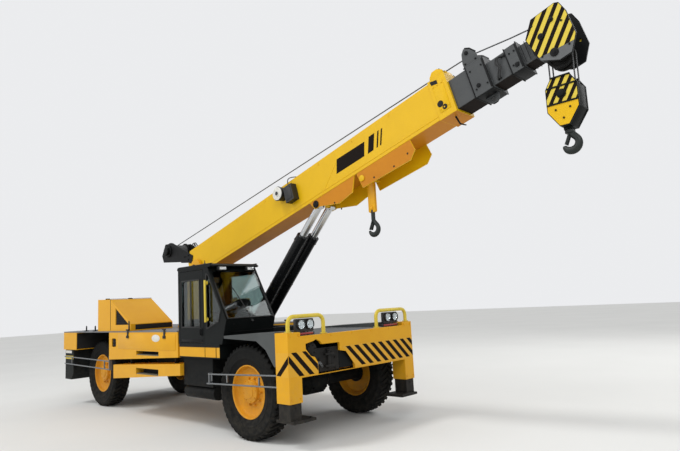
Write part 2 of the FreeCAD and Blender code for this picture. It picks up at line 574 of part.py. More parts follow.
# Bumper and stabiliser sleeves: a plate across the front with an irregular cut-out right of its middle,
# and a square sleeve for a leg at each end.
CUT_OUT = [("85", "1248"), ("85", "1185"), ("120", "1146"), ("168", "1092"), ("236", "1072"),
           ("284", "1005"), ("289", "bumper_low + 8"), ("978", "bumper_low + 8"), ("964", "1010"),
           ("890", "1077"), ("697", "1115"), ("695", "1220"), ("370", "1222"), ("337", "1263"),
           ("268", "1292"), ("210", "1270")]
bumper = slab("bumper_plate", "front", "bumper_front - bumper_wall", "bumper_wall",
              box_loop("-leg_inner", "bumper_low", "leg_inner", "bumper_top"),
              [("-leg_inner + " + across, up) for across, up in CUT_OUT])
sleeves = []
for side, low in (("right", "-half_width"), ("left", "leg_inner")):
    sleeve = slab("sleeve_" + side, "top", "sleeve_low", "sleeve_top - sleeve_low", box_loop(
        "leg_rear", low, "bumper_front", low + " + half_width - leg_inner"))
    add_pocket(sleeve, "top", "sleeve_low", "sleeve_top - sleeve_low - sleeve_wall", box_loop(
        "leg_rear + sleeve_wall", low + " + sleeve_wall", "bumper_front - sleeve_wall",
        low + " + half_width - leg_inner - sleeve_wall"))
    sleeves.append(sleeve)
keep(join("front_bumper_whole", bumper, *sleeves), "front_bumper")

# Towing hitch behind the cut-out: a cast box with a round drum beside it, bolted to the frame's front.
hitch_rear = "bumper_front - bumper_wall - 170"
hitch_box = block("hitch_box", hitch_rear, "-leg_inner + 295", "870", "165",
                  "leg_inner - frame_half - seat_gap - 295", "190")
hitch_drum = bar("hitch_drum", "x", hitch_rear, "-leg_inner + 220", "1165", "92", "165")
hitch_arm = block("hitch_arm", hitch_rear, "-leg_inner + 220", "1000", "165",
                  "leg_inner - frame_half - seat_gap - 220", "170")
keep(join("tow_hitch_whole", hitch_box, hitch_drum, hitch_arm), "tow_hitch")

# Stabiliser legs: a square inner leg with a foot plate that slides down out of each sleeve.
for side, sign in (("right", "-"), ("left", "")):
    inner = "sleeve_wall + 0.5"
    leg_low = "-half_width + " + inner if sign else "leg_inner + " + inner
    post = block("leg_post_" + side, "leg_rear + " + inner, leg_low, "leg_low",
                 "bumper_front - leg_rear - (%s) * 2" % inner, "half_width - leg_inner - (%s) * 2" % inner,
                 "sleeve_top - leg_low - sleeve_wall - 60")
    foot_low = "-half_width + 20" if sign else "foot_inner"
    foot = block("leg_foot_" + side, "leg_rear - 50", foot_low, "leg_low - foot_wall", "340",
                 "half_width - 20 - foot_inner", "foot_wall + 4")
    keep(join("leg_whole_" + side, post, foot), "stabiliser_leg_" + side)

# Lamp guards: a hoop of round tube over each pair of head lamps, with rounded corners.
# Each row: side, the two feet's places across, and what each foot stands on.
HOOPS = [("right", "-leg_inner - 150", "-leg_inner + 465", "sleeve_top", "bumper_top"),
         ("left", "leg_inner - 540", "leg_inner + 150", "bumper_top", "sleeve_top")]
hoops = []
for side, near, far, near_foot, far_foot in HOOPS:
    guard_x = size("bumper_front - 60")
    bend = size("guard_bend")
    bend_z = size("guard_top - guard_radius - guard_bend")
    spots = [FreeCAD.Vector(guard_x, size(near), size(near_foot))]
    for centre, first in ((size(near) + bend, 180), (size(far) - bend, 90)):
        for step in range(5):
            angle = math.radians(first - 22.5 * step)
            spots.append(FreeCAD.Vector(guard_x, centre + bend * math.cos(angle),
                                        bend_z + bend * math.sin(angle)))
    spots.append(FreeCAD.Vector(guard_x, size(far), size(far_foot)))
    hoops.append(swept("guard_hoop_" + side, spots, [size("guard_radius")] * len(spots), 16,
                       FreeCAD.Vector(1, 0, 0)))
keep(group("lamp_guards", *hoops), "lamp_guards")

# Head lamps: inside each guard a flat bracket carries two round lamps side by side and stands on two
# stalks.
# Each row: side, the two lamps' places across, and what each stalk stands on.
LAMPS = [("right", (("-leg_inner + 57", "bumper_top"), ("-leg_inner + 208", "bumper_top"))),
         ("left", (("leg_inner - 297", "bumper_top"), ("leg_inner - 131", "bumper_top")))]
lamps = []
for side, places in LAMPS:
    first, last = places[0][0], places[1][0]
    pieces = [block("lamp_plate_" + side, "bumper_front - 42 - lamp_depth", first + " - lamp_radius",
                    "lamp_z - 56", "24", "(%s) - (%s) + lamp_radius * 2" % (last, first), "112")]
    for index, (across, base) in enumerate(places):
        pieces.append(bar("lamp_shell_%s_%d" % (side, index), "x", "bumper_front - 20 - lamp_depth", across,
                          "lamp_z", "lamp_radius", "lamp_depth"))
        pieces.append(bar("lamp_stalk_%s_%d" % (side, index), "z", "bumper_front - 30 - lamp_depth", across,
                          base, "9", "lamp_z - lamp_radius + 20 - " + base))
    lamps.append(join("lamp_pair_" + side, *pieces))
keep(group("head_lamps", *lamps), "head_lamps")

# Wheel guard rails: two round bars outside each wheel, with an end bracket on the side box behind the
# rear wheel's front and a strap behind the front wheel.
# Each row: name, start and end along X, start and end height.
RAILS = [("front_high", "leg_rear", "-800", "880", "830"), ("front_low", "leg_rear", "-840", "740", "700"),
         ("rear_high", "-rear_end + 40", "-box_rear - 20", "940", "905"),
         ("rear_low", "-rear_end + 40", "-box_rear - 20", "800", "760")]
rails = []
for side, sign in (("right", -1), ("left", 1)):
    pieces = []
    for name, start, end, start_z, end_z in RAILS:
        across = sign * size("rail_y")
        first = FreeCAD.Vector(size(start + " - 1"), across, size(start_z))
        last = FreeCAD.Vector(size(end), across, size(end_z))
        pieces.append(swept("rail_%s_%s" % (name, side), [first, last], [size("rail_radius")] * 2, 10,
                            FreeCAD.Vector(0, 1, 0)))
    low_y = "-rail_y - rail_radius" if sign < 0 else "rail_y - rail_radius - 30"
    strap = block("rail_strap_" + side, "-790", low_y, "690", "24", "rail_radius * 2 + 30", "160")
    bracket = block("rail_bracket_" + side, "-box_rear - 24", low_y, "745", "24 - seat_gap",
                    "rail_radius * 2 + 30", "255")
    front_rails = join("front_rails_" + side, pieces[0], pieces[1], strap)
    rear_rails = join("rear_rails_" + side, pieces[2], pieces[3], bracket)
    rails += [front_rails, rear_rails]
keep(group("guard_rails", *rails), "guard_rails")

# Boxes under the cab line, one on each side, with an air tank slung below.
under = []
for side, low in (("right", "-rail_y + rail_radius + 31"), ("left", "frame_half")):
    width = "rail_y - rail_radius - 31 - frame_half"
    under.append(block("under_box_" + side, "-cab_rear + 45", low, "640", "770", width, "400"))
for side, across in (("right", "-half_width + 170"), ("left", "half_width - 170")):
    under.append(bar("air_tank_body_" + side, "x", "-cab_rear + 20", across, "545", "98", "780"))
keep(join("under_boxes", *under), "under_cab_boxes")

# Cab: a narrow driver's cab on the right, hollow, split at its floor, walls, nose and roof.
inner_face = "-cab_inner - cab_wall"
sill = slab("cab_sill", "top", "cab_sill_low", "cab_floor_top - cab_sill_low", box_loop(
    "-cab_rear + 20", "-half_width", "-cab_low_front - 60", "-frame_half - seat_gap"))
add_pocket(sill, "top", "cab_sill_low", "cab_floor_top - cab_sill_low - 30", box_loop(
    "-cab_rear + 60", "-half_width + 40", "-cab_low_front - 100", "-cab_inner - 40"))
keep(sill, "cab_floor")

wall_line = [("-cab_rear", "cab_floor_top"), ("-cab_low_front", "cab_floor_top"),
             ("-screen_low_x", "screen_low_z"), ("-screen_top_x", "cab_roof_low"),
             ("-cab_rear", "cab_roof_low")]
HINGES = ["1400", "2080"]
notch_rear = "-hinge_x - 11"
door_edge = "-door_rear - cab_gap"
DOOR_HOLE = [("-door_front + cab_gap", "door_low - cab_gap"), ("-door_front + cab_gap", "door_top + cab_gap"),
             (door_edge, "door_top + cab_gap")]
for low in reversed(HINGES):
    high = low + " + hinge_height * 2 + 8"
    DOOR_HOLE += [(door_edge, high), (notch_rear, high), (notch_rear, low), (door_edge, low)]
DOOR_HOLE.append((door_edge, "door_low - cab_gap"))
QUARTER = [("-790", "1470"), ("-500", "1560"), ("-440", "1730"), ("-740", "2230"), ("-790", "2250")]
outer_wall = slab("outer_wall_panel", "side", "-half_width", "cab_wall", wall_line, DOOR_HOLE, QUARTER)
wall_hinges = [block("wall_hinge_" + low, notch_rear + " - 1", "-hinge_y - hinge_radius", low + " - 1", "18",
                     "hinge_radius * 2", "hinge_height + 1") for low in HINGES]
keep(join("cab_outer_wall_whole", outer_wall, *wall_hinges), "cab_outer_wall")
INNER_WINDOW = [("-1400", "1600"), ("-480", "1600"), ("-460", "1740"), ("-760", "2250"), ("-1400", "2250")]
inner_wall = slab("inner_wall_panel", "side", inner_face, "cab_wall", wall_line, INNER_WINDOW)
keep(inner_wall, "cab_inner_wall")
between = "-half_width + cab_wall + seat_gap"
inside = "half_width - cab_inner - cab_wall * 2 - seat_gap * 2"
rear_wall = slab("cab_rear_wall", "front", "-cab_rear", "cab_wall",
                 box_loop(between, "cab_floor_top", inner_face + " - seat_gap", "cab_roof_low"),
                 box_loop("-half_width + 140", "1600", "-cab_inner - 130", "2250"))
nose = slab("cab_nose_body", "side", between, inside, [
    ("-cab_low_front - 30", "cab_floor_top"), ("-cab_low_front", "cab_floor_top"),
    ("-screen_low_x", "screen_low_z"), ("-screen_low_x - 60", "screen_low_z")])
header = slab("cab_header", "side", between, inside, [
    ("-screen_top_x - 46", "cab_roof_low - 60"), ("-screen_top_x + 34", "cab_roof_low - 60"),
    ("-screen_top_x", "cab_roof_low"), ("-screen_top_x - 46", "cab_roof_low")])
keep(group("cab_cross_panels", rear_wall, nose, header), "cab_frame")
roof = slab("cab_roof_body", "side", "-half_width", "half_width - cab_inner", [
    ("-cab_rear - 25", "cab_roof_low"), ("-screen_top_x + 60", "cab_roof_low"),
    ("-screen_top_x + 90", "cab_roof_low + 15"), ("-screen_top_x + 40", "cab_roof_top"),
    ("-cab_rear", "cab_roof_top"), ("-cab_rear - 25", "cab_roof_top - 20")])
keep(roof, "cab_roof")

screen = slab("screen_glass", "side", between, inside, [
    ("-screen_low_x - 12", "screen_low_z + seat_gap"), ("-screen_low_x - 4", "screen_low_z + seat_gap"),
    ("-screen_top_x + 32", "cab_roof_low - 60 - seat_gap"),
    ("-screen_top_x + 24", "cab_roof_low - 60 - seat_gap")])
quarter_glass = slab("quarter_glass", "side", "-half_width + 17", "glass_wall", QUARTER)
inner_glass = slab("inner_glass", "side", inner_face + " + 17", "glass_wall", INNER_WINDOW)
rear_glass = slab("rear_glass", "front", "-cab_rear + 17", "glass_wall",
                  box_loop("-half_width + 140", "1600", "-cab_inner - 130", "2250"))
keep(group("cab_glass", screen, quarter_glass, inner_glass, rear_glass), "cab_glass")

DOOR_WINDOW = [("-1470", "1490"), ("-975", "1490"), ("-975", "2180"), ("-1470", "2180")]
door = slab("cab_door_panel", "side", "-half_width", "cab_wall - 4",
            box_loop("-door_rear", "door_low", "-door_front", "door_top"), DOOR_WINDOW)
door_hinges = []
for low in HINGES:
    seat = low + " + hinge_height + seat_gap"
    door_hinges.append(bar("door_barrel_" + low, "z", "-hinge_x", "-hinge_y", seat, "hinge_radius",
                           "hinge_height"))
    door_hinges.append(block("door_strap_" + low, "-hinge_x", "-hinge_y - 4", seat, "hinge_x - door_rear + 1",
                             "8", "hinge_height"))
keep(join("cab_door_whole", door, *door_hinges), "cab_door")
door_pane = slab("door_pane", "side", "-half_width + 15", "glass_wall", DOOR_WINDOW)
keep(door_pane, "door_glass")

seat_base = block("seat_base", "-1330", "-seat_y - 190", "cab_floor_top", "420", "380", "300")
seat_pad = block("seat_pad", "-1370", "-seat_y - 240", "cab_floor_top + 300", "480", "480", "120")
seat_back = slab("seat_back", "side", "-seat_y - 240", "480", [
    ("-1370", "cab_floor_top + 400"), ("-1250", "cab_floor_top + 400"), ("-1370", "cab_floor_top + 950"),
    ("-1480", "cab_floor_top + 950")])
keep(join("driver_seat_whole", seat_base, seat_pad, seat_back), "driver_seat")
console = slab("console_body", "side", "-seat_y - 150", "300", [
    ("-700", "cab_floor_top"), ("-520", "cab_floor_top"), ("-480", "1620"), ("-560", "1650"),
    ("-640", "1500")])
# The steering wheel: an eight-cornered ring about its column, a flat centre and the column itself,
# turned about the column's axis and then tipped back.
WHEEL_RING = [("204", "0"), ("200", "10"), ("190", "14"), ("180", "10"), ("176", "0"), ("180", "-10"),
              ("190", "-14"), ("200", "-10")]
steering = new_body("steering_wheel")
for name, loop in (("ring", WHEEL_RING), ("centre", box_loop("0", "-4", "179", "4")),
                   ("column", box_loop("0", "-190", "22", "0"))):
    sketch = steering.newObject("Sketcher::SketchObject", "steering_%s_sketch" % name)
    support = [item for item in steering.Origin.OriginFeatures if item.Role == "XZ_Plane"][0]
    sketch.AttachmentSupport = (support, [""])
    sketch.MapMode = "FlatFace"
    outline(sketch, [loop])
    turn = steering.newObject("PartDesign::Revolution", "steering_" + name)
    turn.Profile = sketch
    turn.ReferenceAxis = (sketch, ["V_Axis"])
    turn.Angle = 360
    doc.recompute()
steering.Placement = FreeCAD.Placement(FreeCAD.Vector(-700, -size("seat_y"), 1740),
                                       FreeCAD.Rotation(FreeCAD.Vector(0, 1, 0), -38))
keep(join("driver_console_whole", console, steering), "driver_console")

# Boom sections: box tubes nested one in the next. Each has a thicker collar at its mouth that guides the
# next section, and the tube behind the collar has clearance all round.
# Each row: name, half width, underside, top, tail and mouth along the boom, length of its collar.
SECTIONS = [
    ("boom_base", "boom_half", "0", "boom_height", "-boom_rear", "boom_mouth", "boom_collar"),
    ("boom_section_2", "160", "15", "400", "-2450", "3530", "250"),
    ("boom_section_3", "135", "30", "325", "-2250", "3920", "160"),
    ("boom_section_4", "110", "45", "290", "-2050", "4060", "0"),
]
FOLLOWING = {row[0]: SECTIONS[index + 1] for index, row in enumerate(SECTIONS[:-1])}


def section_box(half, low, top, grow):
    return box_loop("-(%s) - (%s)" % (half, grow), "%s - (%s)" % (low, grow),
                    "%s + (%s)" % (half, grow), "%s + (%s)" % (top, grow))


def boom_tube(name, half, low, top, tail, mouth, collar):
    body = new_body(name + "_tube")
    if name == "boom_base":
        add_pad(body, "side", "-boom_half", "boom_half * 2", [
            ("-boom_rear + 60", "0"), ("boom_mouth", "0"), ("boom_mouth", "boom_height"),
            ("-boom_rear + 110", "boom_height"), ("-boom_rear", "320"), ("-boom_rear", "60")])
    else:
        add_pad(body, "front", tail, "%s - (%s)" % (mouth, tail), section_box(half, low, top, "0"))
    if collar != "0":
        add_pad(body, "front", "%s - %s" % (mouth, collar), collar,
                section_box(half, low, top, "collar_lip"))
    if name in FOLLOWING:
        inner = FOLLOWING[name]
        add_pocket(body, "front", "%s - lip_length" % mouth, "lip_length + 1",
                   section_box(inner[1], inner[2], inner[3], "slide_gap"))
        depth = "%s - lip_length - (%s) - 120" % (mouth, tail)
        add_pocket(body, "front", "%s + 120" % tail, depth,
                   section_box(half, low, top, "-boom_wall"))
    else:
        add_pocket(body, "front", tail, "%s - (%s)" % (mouth, tail),
                   section_box(half, low, top, "-boom_wall"))
    return body


base_tube = boom_tube(*SECTIONS[0])
base_extras = []
for side, low in (("right", "-boom_half + 2"), ("left", "boom_half - 15")):
    # ram bracket and the long plate under the boom, each a pair of side plates
    base_extras.append(slab("ram_bracket_" + side, "side", low, "13", [
        ("350", "0"), ("420", "-ram_pin_drop - 58"), ("520", "-ram_pin_drop - 58"), ("900", "-250"),
        ("1180", "-210"), ("1290", "0")]))
    base_extras.append(slab("under_plate_" + side, "side", low, "13", [
        ("1330", "0"), ("1370", "-235"), ("2215", "-250"), ("2320", "-160"), ("2290", "0")]))
base_extras.append(bar("lug_pin", "y", "lug_along", "-boom_half + 2", "-lug_drop", "lug_radius",
                       "(boom_half - 2) * 2"))
base_extras.append(bar("ram_pin", "y", "ram_pin_along", "-boom_half + 2", "-ram_pin_drop",
                       "ram_pin_radius", "(boom_half - 2) * 2"))
base_extras.append(slab("rope_bridge", "side", "-70", "140", [
    ("2905", "boom_height + 10"), ("3020", "boom_height + 10"), ("2995", "605"), ("2965", "605")]))
for side, low in (("right", "-boom_half - 13"), ("left", "boom_half")):
    base_extras.append(bar("pivot_plate_" + side, "y", "-pivot_along", low, "pivot_up", "130", "13"))
pivot_hole = bar("pivot_hole", "y", "-pivot_along", "-boom_half - 30", "pivot_up", "pivot_pin + 0.5",
                 "(boom_half + 30) * 2")
keep(cut("boom_base_whole", join("boom_base_joined", base_tube, *base_extras), pivot_hole),
     "boom_base_section", along_boom())

second = boom_tube(*SECTIONS[1])
guide = slab("rope_guide_body", "side", "-60", "120", [
    ("3300", "400"), ("3486", "400"), ("3452", "436"), ("3422", "482"), ("3400", "535"), ("3385", "605"),
    ("3325", "605")])
lug_plate = slab("ring_lug_plate", "side", "-20", "40", [
    ("3320", "16"), ("3350", "-70"), ("3390", "-100"), ("3440", "-100"), ("3480", "-70"), ("3500", "16")])
lug_hole = bar("ring_lug_hole", "y", "3415", "-30", "-48", "30", "60")
keep(cut("section_2_bored", join("section_2_whole", second, guide, lug_plate), lug_hole),
     "boom_section_2", along_boom())
keep(boom_tube(*SECTIONS[2]), "boom_section_3", along_boom())
keep(boom_tube(*SECTIONS[3]), "boom_section_4", along_boom())

# Boom head: two shaped side plates on the last section's mouth, a cross plate behind and three sheaves.
HEAD = [("4035", "262"), ("4165", "438"), ("4440", "449"), ("4485", "425"), ("4518", "301"),
        ("head_nose_along", "head_nose_up"), ("4415", "-155"), ("4276", "-161"), ("4101", "-53")]
head_plates = [slab("head_plate_" + side, "side", low, "head_wall", HEAD)
               for side, low in (("right", "-head_half"), ("left", "head_half - head_wall"))]
head_cross = block("head_cross", "4060 + seat_gap", "-head_half + 1", "48", "22", "(head_half - 1) * 2", "240")
head_pins = [bar("head_pin_low", "y", "sheave_along", "-head_half", "-sheave_drop", "28", "head_half * 2"),
             bar("head_pin_high", "y", "top_sheave_along", "-head_half", "top_sheave_up", "24",
                 "head_half * 2")]
jib_bore = bar("jib_bore", "y", "jib_pin_along", "-head_half - 5", "jib_pin_up", "jib_pin_radius",
               "(head_half + 5) * 2")
keep(cut("boom_head_whole", join("boom_head_joined", head_cross, *head_plates, *head_pins), jib_bore),
     "boom_head", along_boom())


def sheave_loop(bore, radius, centre="0"):
    """A rope sheave's profile: a bored web between two rims with a V groove that holds the rope."""
    return [(centre + " - sheave_width / 2", bore), (centre + " + sheave_width / 2", bore),
            (centre + " + sheave_width / 2", radius), (centre + " + sheave_width / 2 - 6", radius),
            (centre + " + 5", radius + " - groove_depth"), (centre + " - 5", radius + " - groove_depth"),
            (centre + " - sheave_width / 2 + 6", radius), (centre + " - sheave_width / 2", radius)]


SHEAVE_SIDES = 32
sheaves = []
for index, (along, up, across, radius, pin) in enumerate((
        ("sheave_along", "-sheave_drop", "-sheave_y", "sheave_radius", "28"),
        ("sheave_along", "-sheave_drop", "sheave_y", "sheave_radius", "28"),
        ("top_sheave_along", "top_sheave_up", "0", "top_sheave_radius", "24"))):
    disc = faceted("sheave_disc_%d" % index, sheave_loop(pin + " - 3", radius), SHEAVE_SIDES, along,
                   across, up)
    hole = bar("sheave_hole_%d" % index, "y", along, across + " - sheave_width", up, pin + " + seat_gap",
               "sheave_width * 2")
    sheaves.append(cut("sheave_%d" % index, disc, hole))
keep(group("head_sheaves", *sheaves), "head_sheaves", along_boom())

# Cable reel on the right side of the boom: a drum with a white face and its small housing.
reel_drum = bar("reel_drum", "y", "-150", "-boom_half - 120", "380", "105", "120 - seat_gap")
reel_case = block("reel_case", "-20", "-boom_half - 110", "160", "185", "110 - seat_gap", "250")
keep(join("cable_reel_whole", reel_drum, reel_case), "cable_reel", along_boom())

# Winch frame: two plates behind the boom's foot joined by cross bars, and the drum that turns between.
winch_frame_pieces = []
for side, low in (("right", "-winch_half"), ("left", "winch_half - winch_plate")):
    winch_frame_pieces.append(slab("winch_plate_" + side, "side", low, "winch_plate", [
        ("-3900", "2700"), ("-3060", "2640"), ("-2880", "2590"), ("-2840", "2740"), ("-3350", "2960"),
        ("winch_x * -1 + 150", "winch_z + 170"), ("winch_x * -1 - 130", "winch_z + 170"),
        ("-3960", "2830")]))
for index, (along, up) in enumerate((("-3300", "2745"), ("-3860", "2770"))):
    winch_frame_pieces.append(bar("winch_tie_%d" % index, "y", along, "-winch_half", up, "28",
                                  "winch_half * 2"))
winch_frame_pieces.append(bar("winch_shaft_bar", "y", "-winch_x", "-winch_half", "winch_z + 20",
                              "winch_shaft", "winch_half * 2"))
keep(join("winch_frame_whole", *winch_frame_pieces), "winch_frame")
drum = turned("winch_drum_body", [
    ("-drum_length / 2", "winch_shaft + seat_gap"), ("drum_length / 2", "winch_shaft + seat_gap"),
    ("drum_length / 2", "drum_flange - 25"),
    ("drum_length / 2 - 14", "drum_flange - 25"), ("drum_length / 2 - 14", "drum_radius"),
    ("-drum_length / 2 + 14", "drum_radius"), ("-drum_length / 2 + 14", "drum_flange - 25"),
    ("-drum_length / 2", "drum_flange - 25")], "-winch_x", "winch_z + 20", "0")
keep(drum, "winch_drum")

# Lift rams: two rods on one pin under the boom, and two barrels joined by their foot pin.
ram_start = FreeCAD.Vector(-size("ram_foot_x"), 0, size("ram_foot_z"))
ram_pin = along_boom().multVec(FreeCAD.Vector(size("ram_pin_along"), 0, -size("ram_pin_drop")))
ram_end = ram_pin + FreeCAD.Vector(ORIGIN, 0, 0)
ram_way = (ram_end - ram_start).normalize()
ram_length = (ram_end - ram_start).Length


def ram_bar(across, begin, end, radius):
    """A round bar on a ram's axis, between two distances from the foot pin."""
    start = ram_start + FreeCAD.Vector(0, across, 0) + ram_way * begin
    return Part.makeCylinder(radius, end - begin, start, ram_way)


def cross_bar(centre, radius, low, high):
    return Part.makeCylinder(radius, high - low, FreeCAD.Vector(centre.x, low, centre.z),
                             FreeCAD.Vector(0, 1, 0))


barrel_length = size("ram_barrel_length")
rod_shapes = []
barrel_shapes = []
for across in (-size("ram_y"), size("ram_y")):
    rod = ram_bar(across, size("ram_rod_inner"), ram_length, size("ram_rod"))
    reach = size("ram_rod") - 2
    eye = cross_bar(ram_end, size("ram_eye"), across - reach, across + reach)
    hole = cross_bar(ram_end, size("ram_pin_radius + 0.5"), across - 80, across + 80)
    rod_shapes.append(rod.fuse(eye).cut(hole))
    barrel = ram_bar(across, 0, barrel_length, size("ram_barrel - 6"))
    barrel = barrel.fuse([ram_bar(across, barrel_length - 90, barrel_length, size("ram_barrel")),
                          ram_bar(across, 60, 130, size("ram_barrel"))])
    barrel = barrel.cut(ram_bar(across, size("ram_bore"), barrel_length + 5, size("ram_rod + 0.5")))
    foot = cross_bar(ram_start, size("ram_foot_eye"), across - 70, across + 70)
    barrel_shapes.append(barrel.fuse(foot))
foot_pin = cross_bar(ram_start, 36, -230, 230)
rods = shaped("lift_rods_shape", Part.makeCompound(rod_shapes))
barrels = shaped("lift_barrels_shape", barrel_shapes[0].fuse([barrel_shapes[1], foot_pin]))
keep(rods, "lift_rods")
keep(barrels, "lift_barrels")


# A plain crane hook, as places beside its bowl's centre and the thickness there: distances are shares of
# the bowl's radius and thicknesses are shares of the shank's radius.
HOOK_LINE = [(0, 1.62, 1), (0.12, 1.36, 0.98), (0.42, 1.02, 0.98)]
HOOK_LINE += [(math.sin(math.radians(turn)), math.cos(math.radians(turn)), thick)
              for turn, thick in ((50, 1), (75, 1.05), (100, 1.12), (125, 1.18), (150, 1.2), (175, 1.2),
                                  (200, 1.12), (222, 0.96), (242, 0.72), (258, 0.4))]


def hook(name, centre_x, top_z, low, radius):
    """A forged hook that thickens round its bowl and tapers to its tip, below a straight shank."""
    bowl = size("hook_bowl")
    thick = size(radius)
    centre = FreeCAD.Vector(size(centre_x), 0, size(low) + bowl + thick * 1.2)
    spots = [FreeCAD.Vector(size(centre_x), 0, size(top_z))]
    spots += [centre + FreeCAD.Vector(along, 0, up) * bowl for along, up, share in HOOK_LINE]
    radii = [thick] + [thick * share for along, up, share in HOOK_LINE]
    return swept(name + "_forged", spots, radii, 12, FreeCAD.Vector(0, 1, 0))


# Hook block: two cheek plates with two grooved sheaves between them, a swivel below, and the four falls
# of rope that hold it from the boom head.
falls_x = "(sheave_along * %s + sheave_drop * %s)" % (BOOM_COS, BOOM_SIN)
head_pin_z = "(boom_base_z + sheave_along * %s - sheave_drop * %s)" % (BOOM_SIN, BOOM_COS)
CHEEK = [("-0.3", "block_low"), ("0.3", "block_low"), ("1", "block_low + 170"), ("1", "block_top - 110"),
         ("0.6", "block_top"), ("-0.6", "block_top"), ("-1", "block_top - 110"), ("-1", "block_low + 170")]
cheek_loop = [("%s + (%s) * block_half" % (falls_x, share), up) for share, up in CHEEK]
block_pieces = [slab("block_cheek_" + side, "side", low, "block_cheek", cheek_loop)
                for side, low in (("right", "-block_y - block_cheek"), ("left", "block_y"))]
block_pieces.append(bar("block_pin", "y", falls_x, "-block_y - block_cheek - 18", "block_z", "26",
                        "(block_y + block_cheek + 18) * 2"))
block_pieces.append(block("block_yoke", falls_x + " - 52", "-block_y", "block_low", "104", "block_y * 2",
                          "70"))
for index, across in enumerate(("-sheave_y", "sheave_y")):
    block_pieces.append(faceted("block_sheave_%d" % index, sheave_loop("20", "sheave_radius"),
                                SHEAVE_SIDES, falls_x, across, "block_z"))
swivel_bore = bar("swivel_bore", "z", falls_x, "0", "block_low - 5", "hook_bar + 0.5", "100")
keep(cut("hook_block_whole", join("hook_block_joined", *block_pieces), swivel_bore), "hook_block")
falls = []
for along_index, along in enumerate((" - ", " + ")):
    for across_index, across in enumerate(("-sheave_y", "sheave_y")):
        falls.append(bar("rope_fall_%d_%d" % (along_index, across_index), "z",
                         falls_x + along + "(sheave_radius - rope_radius * 0.78)", across, "block_z",
                         "rope_radius", head_pin_z + " - block_z"))
keep(group("rope_falls", *falls), "rope_falls")
keep(group("main_hook_single", hook("main", falls_x, "block_low + 50", "hook_low", "hook_bar")), "main_hook")

# Fixed hook under the boom: a wide link plate on the lug pin with a hook at its lower end.
lug_x = "(lug_along * %s + lug_drop * %s)" % (BOOM_COS, BOOM_SIN)
lug_z = "(boom_base_z + lug_along * %s - lug_drop * %s)" % (BOOM_SIN, BOOM_COS)
link_eye = bar("link_eye", "y", lug_x, "-22", lug_z, "link_half", "44")
link_plate = block("link_plate", lug_x + " - link_half", "-22", "link_low", "link_half * 2", "44",
                   lug_z + " - link_low")
link_hook = hook("link", lug_x, "link_low + 40", "link_hook_low", "link_bar")
link_bore = bar("link_bore", "y", lug_x, "-60", lug_z, "lug_radius + 0.5", "120")
keep(cut("fixed_hook_whole", join("fixed_hook_joined", link_eye, link_plate, link_hook), link_bore),
     "fixed_hook")

doc.recompute()
for item in doc.Objects:
    if "Invalid" in item.State or "Error" in item.State:
        raise RuntimeError("%s did not build: %s" % (item.Label, item.State))
for item in finished:
    if item.Shape.isNull() or not item.Shape.isValid():
        raise RuntimeError("%s has no valid shape" % item.Label)

os.makedirs("parts", exist_ok=True)
for item in finished:
    item.Shape.exportStep("parts/%s.step" % item.Label)
box = Part.makeCompound([item.Shape for item in finished]).BoundBox
print("pieces", len(finished), "origin shift", round(ORIGIN, 3))
print("x %.1f %.1f y %.1f %.1f z %.1f %.1f" % (box.XMin, box.XMax, box.YMin, box.YMax, box.ZMin, box.ZMax))
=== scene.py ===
import math

import bmesh
import bpy
from mathutils import Matrix, Vector


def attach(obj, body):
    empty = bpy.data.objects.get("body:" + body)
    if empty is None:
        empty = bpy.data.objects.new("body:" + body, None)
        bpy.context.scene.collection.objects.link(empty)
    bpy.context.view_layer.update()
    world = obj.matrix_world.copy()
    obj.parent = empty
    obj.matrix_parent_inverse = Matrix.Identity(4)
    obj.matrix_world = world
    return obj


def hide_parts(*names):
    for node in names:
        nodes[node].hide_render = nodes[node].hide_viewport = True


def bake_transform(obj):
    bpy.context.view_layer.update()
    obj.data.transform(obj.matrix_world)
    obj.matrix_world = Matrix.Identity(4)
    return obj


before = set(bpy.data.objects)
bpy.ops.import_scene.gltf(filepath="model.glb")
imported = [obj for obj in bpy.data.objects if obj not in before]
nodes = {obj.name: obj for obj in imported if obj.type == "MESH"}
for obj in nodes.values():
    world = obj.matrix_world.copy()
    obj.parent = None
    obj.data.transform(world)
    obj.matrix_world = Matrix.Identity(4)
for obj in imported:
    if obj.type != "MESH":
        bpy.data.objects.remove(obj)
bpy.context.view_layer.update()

# Yard floor, daylight and camera.
# A pale smooth slab under a softly lit sky. The floor and sky look nearly white to the camera and to
# mirrors, but light the crane at a plain level.


def linear(code):
    """An sRGB hex colour as linear red, green, blue and alpha."""
    parts = [int(code[at:at + 2], 16) / 255 for at in (1, 3, 5)]
    return [part / 12.92 if part <= 0.04045 else ((part + 0.055) / 1.055) ** 2.4 for part in parts] + [1]


def add_node(tree, kind, inputs=None, **settings):
    """One shader node with its settings, its constants and its incoming links."""
    node = tree.nodes.new("ShaderNode" + kind)
    for key, value in settings.items():
        setattr(node, key, value)
    for key, value in (inputs or {}).items():
        if isinstance(value, bpy.types.NodeSocket):
            tree.links.new(value, node.inputs[key])
        else:
            node.inputs[key].default_value = value
    return node


def new_finish(name, colour=None, **constants):
    """A material, with the constants of its shader's sockets given by name."""
    material = bpy.data.materials.new(name)
    material.use_nodes = True
    shader = material.node_tree.nodes["Principled BSDF"]
    if colour:
        shader.inputs["Base Color"].default_value = linear(colour)
    for key, value in constants.items():
        shader.inputs[key.replace("_", " ")].default_value = value
    return material


